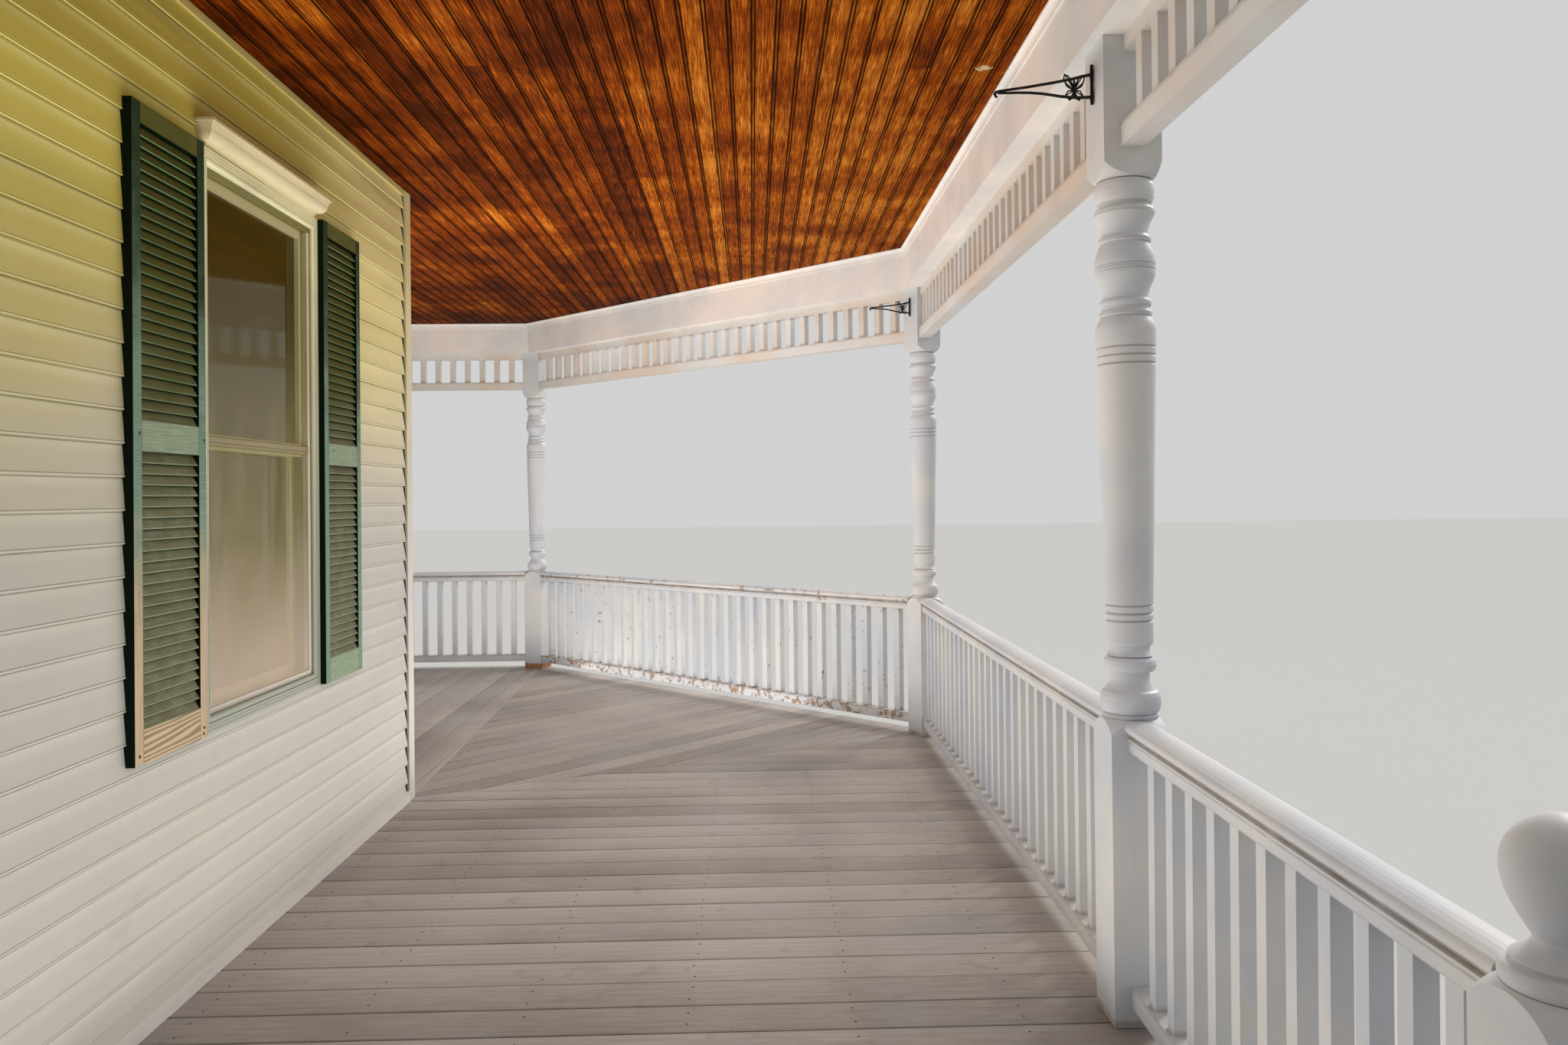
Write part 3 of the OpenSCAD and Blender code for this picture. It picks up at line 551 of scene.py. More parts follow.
# Vinyl siding: yellowish cream at the top turning near white below, which is painted shade and ceiling light,
# and paler towards the corner, painted light;
# painted shade under each lap with painted light just below it, a painted highlight on the lip, painted shade
# in a groove and in the gap by the corner board;
# faint embossed grain, scuffs and specks. Its tone is the share of a course's height
def sidingFinish():
    finish = Finish("vinylSiding")
    look = sidingLook
    share = finish.tone
    # painted shade and ceiling light towards the top, painted light towards the corner
    level = (noise(finish.at, 1.1) * 0.5 + (lightTurnOf(finish) - 0.25)).rise(0.0, 1.0)
    level = level * finish.height.rise(ceilingTop + 0.2, ceilingTop)
    litNearCorner = mix(finish.y.rise(*look["cornerLightSpan"]) * 0.8, look["upper"], look["litNearCorner"])
    colour = finish.drift(mix(level, look["lower"], litNearCorner), 2.4, 0.05)
    # painted highlight on each lip and painted light at the top of each course under the lap
    pale = (share.between(0.010, 0.050, 0.010) * 0.45).most(share.rise(0.58, 0.99) * look["underLapLight"])
    colour = mix(pale, colour, mix(level, look["litBelow"], look["lit"]))
    # painted shade under each lap, under the lip and in the groove above it
    under = share.rise(0.948, 0.962).most(share.rise(0.006, 0.001))
    groove = share.between(0.074, 0.092, 0.008)
    colour = mix((under * 0.8).most(groove * 0.3), colour, look["dirtAndShade"])
    # painted shadow in the gap beside the corner board, wider under each lap
    past = split(finish.along)[0] - share * look["endShadow"] - cornerBoard
    end = past.rise(0.0045, 0.0030) * finish.height.rise(ceilingZ, ceilingZ - 0.01)
    colour = mix(end, colour, look["cornerGapShadow"])
    for kind in ("specks", "scuffs"):
        colour = finish.spots(colour, look["dirtAndShade"], *look[kind])
    finish.set("Specular IOR Level", 0.2)
    streak = finish.grain(90.0, 30.0)[0]
    return finish.close(colour, noise(finish.at, 4.0) * 0.2 + 0.38, streak * 0.5, 0.0002)


# groove is the share of painted shade in a groove
trimLook = {"dust": (0.25, 9.0, 0.58, 0.12, 5.0), "specks": (0.4, 120.0, 0.72, 0.015), "groove": 0.6}


# Smooth trim with faint streaks down it, dust, and painted shade in its grooves. Lower down it may turn to a
# second colour, painted light and shade, behind the wall's face to a third, painted shade in the recess, and
# on the screen's head rail to a fourth, painted shade under the frame's head
def trimFinish(name, colour, dustAndShade, grain="uv", low=None, deep=None, grooves=(), rail=None):
    finish = Finish(name, grain)
    if low is not None:
        colour = mix(lightTurnOf(finish), low, colour)
    if deep is not None:
        colour = mix(finish.x.rise(corner[0] + 0.001, corner[0] - 0.004), colour, deep)
    colour = finish.drift(colour, 3.0, 0.05)
    for kind in ("dust", "specks"):
        colour = finish.spots(colour, dustAndShade, *trimLook[kind])
    # painted shade in the grooves
    for start, stop in grooves:
        colour = mix(split(finish.along)[1].between(start, stop, 0.0008) * trimLook["groove"], colour, dustAndShade)
    if rail is not None:
        colour = mix(finish.height.rise(screenHead - 0.0175, screenHead - 0.0160), colour, rail)
    return finish.close(colour, noise(finish.at, 7.0) * 0.22 + 0.34, noise(finish.at, 60.0), 0.00015)


ceilingLook = {
    "deep": shade(56, 20, 3),
    "mid": shade(104, 43, 6),
    "bright": shade(146, 72, 9),
    # worn is worn-through stain and also painted sheen
    "worn": shade(196, 124, 44),
    "byCloud": 0.60,
    "byBlotch": 0.62,
    "byBoard": 0.18,
    "byStreak": 0.28,
    # lightening away from the house wall, painted light
    "byLitMiddle": 0.14,
    "rings": 0.28,
    "peeled": shade(182, 164, 132),
    "gap": shade(26, 10, 3),
    "gapDark": 0.88,
    "patchAt": (2.633, -0.673),
    "patchSize": 0.062,
}
beadSize = {"pitch": 0.0685, "bead": 0.0042, "quirk": 0.0022, "ease": 0.0022, "sink": 0.0012, "seed": 23,
            "longest": 3.6, "shortest": 1.4, "buttGap": 0.0012}


# Stained beaded boards: dark red-brown to orange by board and by cloud, lighter away from the house wall,
# which is painted light, fine streaks, tan places where the stain has worn through, which also stand for
# painted sheen, and one small peeled spot by the beam
def ceilingFinish():
    finish = Finish("stainedBoards")
    look = ceilingLook
    streak, ring = finish.grain(240.0, 26.0, 2.2)
    cloud = noise(finish.at, 1.3, 3.0, 0.6)
    pulled = Value(addNode(finish.tree, "Mapping", {"Vector": finish.at, "Scale": (1.0, 0.7, 1.0)}))
    blotch = noise(pulled, 4.2, 7.0, 0.66, 0.15)
    # painted light: the boards lighter away from the house wall
    middle = finish.y.between(-0.6, 3.4, 1.6) * finish.x.rise(corner[0], 2.2)
    level = cloud * look["byCloud"] + blotch * look["byBlotch"] + finish.tone * look["byBoard"]
    level = level + streak * look["byStreak"] + middle * look["byLitMiddle"]
    colour = mix(level.rise(0.72, 0.90), look["deep"], look["mid"])
    colour = mix(level.rise(0.89, 1.04), colour, look["bright"])
    # tan worn places, which also stand for painted sheen
    colour = mix(level.rise(1.03, 1.16) * 0.8, colour, look["worn"])
    colour = mix(ring * look["rings"], colour, look["deep"])
    side = split(finish.along)[1]
    pitch = beadSize["pitch"]
    edge = pitch - 2 * beadSize["bead"]
    joint = side.between(edge - 0.0055, edge + 0.0002, 0.0012).most(side.rise(pitch - 0.0026, pitch - 0.0010))
    joint = joint.most(side.rise(0.0028, 0.0014)).most(side.rise(edge - 0.001, edge) * 0.45)
    colour = mix(joint * look["gapDark"], colour, look["gap"])
    sideX = finish.x - look["patchAt"][0]
    sideY = finish.y - look["patchAt"][1]
    ragged = noise(finish.at, 46.0, 4.0) * 0.09 + (sideX * sideX + sideY * sideY).math("SQRT")
    flecks = finish.patches(48.0, 0.69, 0.008) * finish.x.rise(2.40, 2.72)
    peeled = ragged.rise(look["patchSize"] + 0.004, look["patchSize"]).most(flecks * 0.7)
    colour = mix(peeled, colour, look["peeled"])
    finish.set("Specular IOR Level", 0.01)
    return finish.close(colour, (cloud * 0.25 + 0.45).most(peeled * 0.8), streak * 0.5 + peeled, 0.0004)


deckLook = {
    "pale": shade(174, 165, 157),
    "dark": shade(126, 117, 111),
    "blue": shade(150, 150, 156),
    "stain": shade(110, 98, 86),
    "worn": (0.3, 2.0, 0.56, 0.12),
    "stains": (0.25, 11.0, 0.63, 0.05),
    "grit": (300.0, 0.66, 0.02),
    "rings": 0.12,
}


# Weathered floor boards: grey-brown, each board its own tone, soft rings, walked pale places
def deckFinish():
    finish = Finish("floorBoards")
    look = deckLook
    streak, ring = finish.grain(200.0, 30.0, 2.6)
    cloud = noise(finish.at, 1.4, 4.0)
    mottled = finish.tone * 0.35 + cloud * 0.9 + streak * 0.2
    colour = mix(mottled.rise(0.35, 1.0), look["dark"], look["pale"])
    colour = mix(ring * look["rings"], colour, look["stain"])
    colour = finish.spots(colour, look["blue"], *look["worn"])
    colour = finish.spots(colour, look["stain"], *look["stains"])
    grit = finish.patches(*look["grit"]) * 0.3
    colour = mix(grit, colour, look["stain"])
    return finish.close(colour, cloud * 0.25 + 0.45, streak * 0.5 - grit, 0.0005)


shutterLook = {
    # edge is the black-green of the sides, painted shade, of the line by the stiles, painted shadow, and of
    # the paint's dark grain
    "edge": shade(7, 22, 10),
    "olive": shade(92, 98, 42),
    "paleLow": shade(134, 138, 112),
    "blueGreen": shade(126, 154, 134),
    "topStile": shade(42, 60, 36),
    "rail": shade(150, 168, 140),
    "brown": shade(104, 88, 44),
    "brownSpots": (0.45, 16.0, 0.5, 0.14),
    # lip colours are painted highlights on the louvres' noses and rims
    "lip": shade(158, 168, 132),
    "noseHighlightAbove": shade(96, 120, 80),
    "noseAt": 0.0222,  # out from the shutter's back
    "rimAt": 0.0236,
    "bare": shade(198, 180, 150),
    "bareRing": shade(146, 124, 96),
    "stile": 0.037,
    "bottomRail": 0.082,
    "midRail": (0.748, 0.822),  # above the shutter's foot
    "bareTo": 0.42,
}


# Shutter paint: black-green sides, which are painted shade, with a painted shadow line along each stile and
# under each louvre's nose, a painted highlight on each louvre's nose and rim, louvres olive above and paler
# below, pale blue-green rails, and on a bare shutter ringed wood low on the stiles and on the bottom rail
def shutterFinish(name, node, isBare=False):
    finish = Finish(name, "z")
    look = shutterLook
    low, high = boxOf(node)
    up = finish.height - low[2]
    wayX, _, wayZ = split(Value(addNode(finish.tree, "NewGeometry"), "Normal"))
    fall = noise(finish.at, 6.0) * 0.5 + (finish.height.rise(low[2], high[2]) - 0.25)
    face = mix(fall.rise(0.25, 0.85), look["paleLow"], look["olive"])
    face = finish.spots(face, look["brown"], *look["brownSpots"])
    bottomRail = up.rise(look["bottomRail"] + 0.001, look["bottomRail"])
    face = mix(up.between(*look["midRail"], 0.001).most(bottomRail), face, look["rail"])
    away = abs(finish.y - (low[1] + high[1]) / 2)
    reach = (high[1] - low[1]) / 2 - look["stile"]
    stiles = away.rise(reach - 0.0008, reach)
    stileFall = noise(finish.at, 8.0, 5.0) * 0.5 + fall
    face = mix(stiles, face, mix(stileFall.rise(0.75, 1.25), look["blueGreen"], look["topStile"]))
    streak, ring = finish.grain(260.0, 90.0, 7.0, turned(finish.at, "y"))
    face = mix(streak * 0.32, face, look["edge"])
    if isBare:
        ragged = noise(finish.at, 7.0, 4.0, 0.6) * 0.4 + up
        bare = (ragged.rise(look["bareTo"] + 0.46, look["bareTo"] + 0.06) * stiles).most(bottomRail)
        upright = finish.grain(220.0, 40.0)[0]
        ringed = upright * stiles * 0.5 + (ring - ring * stiles)
        face = mix(bare, face, mix(ringed, look["bare"], look["bareRing"]))
    # painted shadow line along each stile's inner edge
    face = mix(away.between(reach - 0.0006, reach + 0.0004, 0.0008) * 0.7, face, look["edge"])
    # painted shade on the sides, which face along the wall
    colour = mix(wayX.rise(0.25, 0.8), look["edge"], face)
    # painted highlight colour, darker towards the top
    lip = mix(fall.rise(0.2, 0.8), look["lip"], look["noseHighlightAbove"])
    out = finish.x - low[0]
    nose = out.rise(look["noseAt"] - 0.0006, look["noseAt"] + 0.0006)
    # on the louvres' undersides: painted shadow towards the back and a painted highlight on the nose
    colour = mix(wayZ.rise(-0.55, -0.80) * wayX.rise(0.25, 0.40), colour, mix(nose, look["edge"], lip))
    # painted highlight along the rim of each louvre's top
    rim = out.rise(look["rimAt"], look["rimAt"] + 0.001) * wayZ.rise(0.3, 0.42)
    colour = mix(rim * 0.8, colour, lip)
    finish.set("Specular IOR Level", 0.12)
    return finish.close(finish.drift(colour, 8.0, 0.10), 0.62, streak, 0.0004)


# Plain rough masonry, timber and roofing
def roughFinish(name, first, second, scale, roughness, depth):
    finish = Finish(name, "z")
    cloud = noise(finish.at, scale, 5.0, 0.65)
    colour = finish.drift(mix(cloud.rise(0.3, 0.7), first, second), scale * 0.2, 0.12, 0.5)
    return finish.close(colour, roughness, cloud, depth)


def ironFinish():
    finish = Finish("blackIron", "z")
    rust = finish.patches(60.0, 0.62, 0.04)
    finish.set("Metallic", 0.35)
    colour = mix(rust * 0.5, shade(20, 20, 21), shade(74, 44, 28))
    return finish.close(colour, rust * 0.3 + 0.38, rust, 0.0002)


glassLook = {
    # top is painted shade of the room behind the glass, bottom a painted reflection
    "top": shade(44, 34, 8),
    "middle": shade(80, 70, 40),
    "bottom": shade(150, 138, 116),
    "shader": {"Transmission Weight": 0.12, "IOR": 1.5, "Metallic": 0.0, "Specular IOR Level": 0.3},
}


# Glass with a faint film, dark and brownish at the top, painted shade of the room behind, and paler
# downwards, painted reflection
def glassFinish():
    finish = Finish("glassPaintedShadeAndReflection", "z")
    look = glassLook
    for socket, value in look["shader"].items():
        finish.set(socket, value)
    low, high = levelsOf("window_glass")
    middle = (low + high) / 2 - 0.1
    film = noise(finish.at, 2.0)
    wavy = film * 0.3 + (finish.height - 0.15)
    colour = mix(wavy.rise(high - 0.2, middle), look["top"], look["middle"])
    colour = mix(wavy.rise(middle, low), colour, look["bottom"])
    return finish.close(colour, film * 0.03 + 0.03)


meshLook = {
    # top is painted shade, middle and bottom painted light and reflection
    "top": shade(104, 92, 16),
    "middle": shade(156, 148, 98),
    "bottom": shade(224, 208, 186),
    "streak": shade(206, 198, 186),
    "streaks": (9.0, 0.56, 0.10, 9.0),
    "coverTop": 0.15,
    "coverMore": 0.23,  # at the bottom
}


# Insect mesh: dark brown at the top, painted shade, paler downwards, painted light and reflection, with soft
# pale upright streaks
def screenFinish():
    finish = Finish("insectMesh", "z")
    look = meshLook
    low, high = levelsOf("insect_screen")
    middle = (low + high) / 2
    wavy = noise(finish.at, 3.0) * 0.35 + (finish.height - 0.175)
    colour = mix(wavy.rise(high - 0.15, middle - 0.1), look["top"], look["middle"])
    colour = mix(wavy.rise(middle - 0.15, low), colour, look["bottom"])
    streak = finish.patches(*look["streaks"]) * finish.height.rise(high - 0.5, middle - 0.1)
    colour = mix(streak * 0.35, colour, look["streak"])
    finish.set("Alpha", wavy.rise(high - 0.1, low) * look["coverMore"] + look["coverTop"])
    finish.set("Specular IOR Level", 0.2)
    return finish.close(colour, 0.75)


# Sash paint: brown in the shade of the jamb, paler along the glass
def sashFinish():
    finish = Finish("sashPaint", "z")
    low, high = boxOf("window_glass")
    half = (high[1] - low[1]) / 2
    away = abs(finish.y - (low[1] + high[1]) / 2)
    colour = mix(away.rise(half + 0.010, half + 0.016), shade(236, 230, 178), shade(176, 176, 116))
    streak = finish.grain(200.0, 40.0)[0]
    return finish.close(finish.drift(colour, 4.0, 0.1), 0.5, streak, 0.0001)


# Spans round the window frame's section that take painted shade
frameGrooves = ((0.0283, 0.0293), (0.0389, 0.0399), (0.0512, 0.0542))  # round the window frame's section
railTop = levelsOf("rail_b_c")[1]
# Darker bands at levels: dirt, and painted shade under the handrail's nose, on the friezes, at the posts'
# feet and in the grooves of their blocks and turnings
railDirtAndShade = [(railTop - 0.034, 0.003, 0.007, 0.95), (railTop - 0.049, 0.001, 0.003, 0.6),
            (railTop - 0.074, 0.002, 0.004, 0.4), (floorZ + 0.101, 0.003, 0.012, 0.5)]
railPeel = [(railTop - 0.02, 0.02, 0.01, 0.04), (floorZ + 0.075, 0.025, 0.02, 0.10)]
newelRail = boxOf("rail_newel_b")
railSag = (0.016 / (newelRail[1][1] - newelRail[0][1]), newelRail[1][1])
friezeDirtAndShade = [(levelsOf("frieze_b_c")[0] + 0.057, 0.004, 0.012, 0.5)]
blockTop = floorZ + 0.733
shoulder = levelsOf("post_b")[1] - 0.339
postDirtAndShade = [(floorZ + 0.006, 0.006, 0.012, 0.8)]
postDirtAndShade += [(blockTop + lift, 0.001, 0.003, 0.45) for lift in (0.006, 0.238, 0.256, 0.275)]
ringDrops = (0.451, 0.431, 0.411, 0.327, 0.215, 0.146, 0.080)
postDirtAndShade += [(shoulder - drop, 0.001, 0.003, 0.4) for drop in ringDrops]

materials = {
    "siding": sidingFinish(),
    "corner": trimFinish("cornerTrim", shade(218, 208, 154), shade(172, 156, 110), low=shade(206, 202, 196)),
    "baseTrim": trimFinish("baseTrim", shade(214, 210, 204), shade(150, 140, 124), "y"),
    "undersill": trimFinish("undersill", shade(198, 182, 112), shade(128, 112, 56)),
    "crown": trimFinish("crownTrim", shade(210, 198, 158), shade(140, 122, 82)),
    # The window's darker lower colour and its colour behind the wall's face are painted shade, as is the
    # screen frame's head rail colour
    "window": trimFinish("windowTrim", shade(230, 226, 182), shade(96, 88, 56),
                         low=shade(162, 168, 154), deep=shade(140, 138, 100), grooves=frameGrooves),
    "sash": sashFinish(),
    "screenFrame": trimFinish("screenFrame", shade(214, 206, 166), shade(110, 100, 66),
                              low=shade(214, 208, 196), rail=shade(122, 116, 66)),
    "screenBar": trimFinish("screenBar", shade(140, 128, 86), shade(92, 80, 48)),
    "post": paintedWood("postPaint", "z", postDirtAndShade),
    "rottedPost": paintedWood("cornerPostPaint", "z", postDirtAndShade, 0.01, rotLevel=floorZ),
    "railFront": paintedWood("frontRailPaint", "y", railDirtAndShade),
    "railNewel": paintedWood("newelRailPaint", "y", railDirtAndShade, sag=railSag),
    "railSlant": paintedWood("peelingRailPaint", "slant", railDirtAndShade, 0.075, railPeel),
    "railSide": paintedWood("sideRailPaint", "x", railDirtAndShade, 0.02),
    "ceiling": ceilingFinish(),
    "deck": deckFinish(),
    "timber": roughFinish("frameTimber", shade(150, 122, 88), shade(120, 94, 64), 14.0, 0.75, 0.001),
    "masonry": roughFinish("footing", shade(140, 136, 128), shade(112, 108, 102), 16.0, 0.9, 0.003),
    "plaster": roughFinish("wallCore", shade(206, 200, 188), shade(192, 186, 172), 8.0, 0.8, 0.0006),
    "roofing": roughFinish("shingles", shade(84, 80, 78), shade(56, 54, 54), 120.0, 0.92, 0.0015),
    "iron": ironFinish(),
    "glass": glassFinish(),
    "mesh": screenFinish(),
    "bareShutter": shutterFinish("shutterBare", "shutter_left", True),
    "shutter": shutterFinish("shutterPaint", "shutter_right"),
}
# Friezes take a darker copy of the white, painted shade; beams a lighter warm copy, painted light
for leg, word, grain in (("Front", "front", "y"), ("Slant", "corner", "slant"), ("Side", "side", "x")):
    materials["frieze" + leg] = paintedWood(word + "FriezePaint", grain, friezeDirtAndShade, lightAndShadeTints=("shadedDim", "plain"))
    materials["beam" + leg] = paintedWood(word + "BeamPaint", grain, lightAndShadeTints=("pale", "warm"))
print("made", len(materials), "materials")

# Siding

sidingSize = {
    "courses": 33,  # between the floor and the ceiling
    "buttOut": 0.0080,
    "topOut": 0.0015,
    "backOut": 0.0003,
    "gap": 0.003,
    "wave": 0.0005,
    "station": 0.16,
    "seed": 5,
    # a course's section: shares of its height, and what is added to its slope there
    "shares": [0.0, 0.0, 0.012, 0.03, 0.06, 0.075, 0.09, 0.11, 0.13, 0.5, 0.97],
    "added": [-0.0063, -0.0025, -0.0008, 0, 0, -0.0012, -0.0014, -0.0004, -0.0006, 0, 0],
    "strip": 0.0105,  # the strip under the ceiling stands this far off the wall
}
coursePitch = (ceilingZ - floorZ) / sidingSize["courses"]
sidingFrom = levelsOf("front_wall")[0]
sidingTo = levelsOf("corner_board")[1]


# Heights and depths up the siding. A course climbs from its lip, buttOut off the wall, back to
# topOut at its top: depth = buttOut + (topOut - buttOut) share. The lip turns under to the wall
def lapProfile(low, high):
    size = sidingSize
    first = math.floor((low - floorZ) / coursePitch)
    lines = floorZ + coursePitch * np.arange(first, math.ceil((high - floorZ) / coursePitch))
    shares = np.array(size["shares"])
    slope = size["buttOut"] + (size["topOut"] - size["buttOut"]) * shares
    z = (lines[:, None] + coursePitch * shares).ravel()
    depth = np.tile(slope + size["added"], len(lines))
    tone = np.tile(shares, len(lines))
    course = np.repeat(np.arange(len(lines)), len(shares))
    keep = (z >= low) & (z <= high)
    return z[keep], depth[keep], tone[keep], course[keep]


# A wall's siding between two stations along it: the lap profile carried along the wall, with a slow
# wave in each course, wave sin(2 pi s / 1.9 + a) + half of it at 0.8 m. Stations run away from the corner
def sidingSheet(start, stop, low, high, place, mitred=False, hole=None):
    size = sidingSize
    rng = np.random.default_rng(size["seed"])
    z, depth, tone, course = lapProfile(low, high)
    stations = np.linspace(start, stop, max(2, int((stop - start) / size["station"])))
    if hole is not None:
        stations = np.sort(np.concatenate([stations, hole[:2]]))
    phase = rng.uniform(0, 2 * math.pi, (course.max() + 1, 2))[course]
    wave = np.sin(2 * math.pi * stations / 1.9 + phase[:, :1])
    wave = wave + 0.5 * np.sin(2 * math.pi * stations / 0.8 + phase[:, 1:])
    out = depth[:, None] + size["wave"] * wave
    run = np.broadcast_to(stations, out.shape).copy()
    if mitred:
        run[:, 0] = -out[:, 0]
    keep = np.ones((len(z) - 1, len(stations) - 1), bool)
    if hole is not None:
        inRow = (z[:-1] >= hole[2]) & (z[1:] <= hole[3])
        inColumn = (stations[:-1] >= hole[0] - 1e-6) & (stations[1:] <= hole[1] + 1e-6)
        keep = ~(inRow[:, None] & inColumn[None])
    up = z[:, None]
    tones = np.broadcast_to(tone[:, None], out.shape)
    return closedSheet(place(run, out, up), place(run, size["backOut"], up), keep, join(run, up), tones)


def onFrontWall(run, out, z):
    return join(corner[0] + out, corner[1] - run, z)


def onSideWall(run, out, z):
    return join(corner[0] - run, corner[1] + out, z)


# Strip that covers the siding's top edge under the ceiling: its section goes down from the ceiling,
# with a double line near its foot, and is carried from one end of the wall to the other
def undersillStrip(length, place):
    deep = sidingSize["strip"]
    step = deep - 0.0013
    out = np.array([0.0002, deep, deep, step, step, deep, deep, deep - 0.001, 0.0002])
    down = np.array([0.2, 0.2, 16.0, 16.7, 18.0, 18.7, 22.5, 23.5, 23.5]) / 1000
    run = np.array([cornerBoard, length])[:, None]
    return closedBody(place(run, out, ceilingZ - down), join(run, down))


# Siding of a wall under the porch's ceiling and above its roof
def makeSiding(name, length, place, hole=None):
    lower = sidingSheet(cornerBoard + sidingSize["gap"], length, sidingFrom, sidingTo, place, False, hole)
    upper = sidingSheet(0.0, length, roofAtWall, wallTop, place, True)
    addPiece(name, [lower, upper], "siding")


inside = 0.02  # the siding's hole is this much smaller than the shutters' outer box
holeLow, holeHigh = boxOf("shutter_left")[0], boxOf("shutter_right")[1]
sidingHole = (corner[1] - holeHigh[1] + inside, corner[1] - holeLow[1] - inside,
              holeLow[2] + inside / 2, holeHigh[2] - inside / 2)
frontLength = corner[1] - southY
sideLength = corner[0] - westX
makeSiding("siding_front", frontLength, onFrontWall, sidingHole)
makeSiding("siding_side", sideLength, onSideWall)
strips = [undersillStrip(frontLength, onFrontWall), undersillStrip(sideLength, onSideWall)]
addPiece("undersill_strip", strips, "undersill")

# Corner post

cornerLook = {"out": 0.012, "rib": 0.0022, "step": 0.006}


# The board's L with two ribs and a hollow down each face. One leg runs from its free edge to the
# arris, away from the corner and depth off the wall, and the other mirrors it
def cornerPost():
    out, rib, step = cornerLook["out"], cornerLook["rib"], cornerLook["step"]
    wide, half = cornerBoard, 0.5 * cornerBoard
    away = np.array([wide, wide, wide - step, wide - step - 0.002, half + step, half, step, 0.002])
    depth = np.array([0, out, out, out - rib, out - rib, out, out, out])
    leg = np.stack([depth, -away], axis=1)
    arris = np.array([[out, out - 0.002], [out - 0.0006, out - 0.0006], [out - 0.002, out]])
    outline = corner + np.concatenate([[[0, 0]], leg, arris, leg[::-1, ::-1]])
    heights = np.array(levelsOf("corner_board"))[:, None]
    girth = np.concatenate([[0], np.cumsum(np.linalg.norm(np.diff(outline, axis=0), axis=1))])
    post = closedBody(raised(outline[None], heights), join(heights, girth))
    addPiece("corner_post", [post], "corner", ["corner_board"])


cornerPost()

# Floor boards

boardSize = {"pitch": 0.1405, "gap": 0.004, "ease": 0.003, "sink": 0.0014, "seed": 11}
nailSize = {"radius": 0.0032, "lift": 0.0005, "rows": 0.41, "first": 0.09, "spread": 0.034, "stray": 0.006,
            "inset": 0.021, "kept": 0.8}


# Boards of one field: the field's outline cut by a strip one pitch wide for each board
def boardField(outline, grainWay, first, rng):
    size = boardSize
    pitch = size["pitch"]
    reach = outline @ leftOf(grainWay)
    boards = []
    for k in range(math.floor((reach.min() - first) / pitch), math.ceil((reach.max() - first) / pitch)):
        low = first + k * pitch + size["gap"] / 2
        strip = tidyOutline(bandOf(outline, leftOf(grainWay), low, low + pitch - size["gap"]))
        if strip is None:
            continue
        top = floorZ - rng.uniform(0, size["sink"])
        shift = np.array([rng.uniform(0, 40), -low + rng.integers(0, 9)])
        board = flatBoard(strip, deckUnder, top, size["ease"], grainWay, shift, rng.uniform())
        boards.append((strip, top, board))
    return boards


# Places of a board's nails, two to a joist, that are clear of the board's edges
def boardNails(strip, top, grainWay, rng):
    size = nailSize
    along, across = strip @ grainWay, strip @ leftOf(grainWay)
    step, most = size["rows"], 99
    rows = np.arange(math.ceil((along.min() - size["first"]) / step), most) * step + size["first"]
    rows = rows[rows < along.max()]
    middle = (across.min() + across.max()) / 2
    places = join(rows, middle + size["spread"] * np.array([[-1], [1]])).reshape(-1, 2)
    places = places + rng.uniform(-size["stray"], size["stray"], places.shape)
    points = places[:, :1] * grainWay + places[:, 1:] * leftOf(grainWay)
    clear = ((points[:, None] - strip) * inwardOf(strip)).sum(axis=2).min(axis=1)
    return raised(points[(clear > size["inset"]) & (rng.uniform(size=len(points)) < size["kept"])], top)


# Small domes at many places, each of three rings: reach (cos a across + sin a beside) + lift up
def studs(places, radius, lift, up=(0, 0, 1), across=(1, 0, 0), sides=8):
    angle = np.linspace(0, 2 * math.pi, sides, endpoint=False)[:, None]
    flat = np.cos(angle) * across + np.sin(angle) * np.cross(up, across)
    reach = radius * np.array([1.0, 1.0, 0.7])
    height = lift * np.array([-0.6, 0.55, 1.0])
    rings = reach[:, None, None] * flat + height[:, None, None] * np.array(up)
    return [closedBody(place + rings, np.zeros((3, sides, 2))) for place in places]


def makeDeck():
    rng = np.random.default_rng(boardSize["seed"])
    fields = threeFields(pastPosts("deck_front"))
    starts = (southY, 0.0, -westX)
    heads = []
    for (side, grainWay), outline, first in zip(outways.items(), fields, starts):
        boards = boardField(outline, grainWay, first, rng)
        parts = [part for strip, top, part in boards]
        addPiece("deck_boards_" + side, parts, "deck", ["deck_" + side], 50)
        heads += [boardNails(strip, top, grainWay, rng) for strip, top, part in boards]
    heads = studs(np.concatenate(heads), nailSize["radius"], nailSize["lift"])
    addPiece("deck_nails", heads, "iron")


makeDeck()

# Ceiling boards


# Section of a beaded board, across and up from the ceiling's face: an eased edge, the flat, a narrow
# quirk, and a half-round bead, radius r, with its points at r cos a and r - r sin a
def beadedSection(size):
    pitch, r, quirk = size["pitch"], size["bead"], size["quirk"]
    thick = ceilingTop - ceilingZ
    angle = np.linspace(math.pi, 0, 6)[1:]
    gap = 0.0005
    beadAt = pitch - r - gap
    flat = [gap, gap, size["ease"], beadAt - r - 0.0028, beadAt - r - 0.0018, beadAt - r]
    across = np.concatenate([flat, beadAt + r * np.cos(angle), [pitch - gap]])
    up = np.concatenate([[thick, size["ease"], 0, 0, quirk, quirk], r - r * np.sin(angle), [thick]])
    return across, up


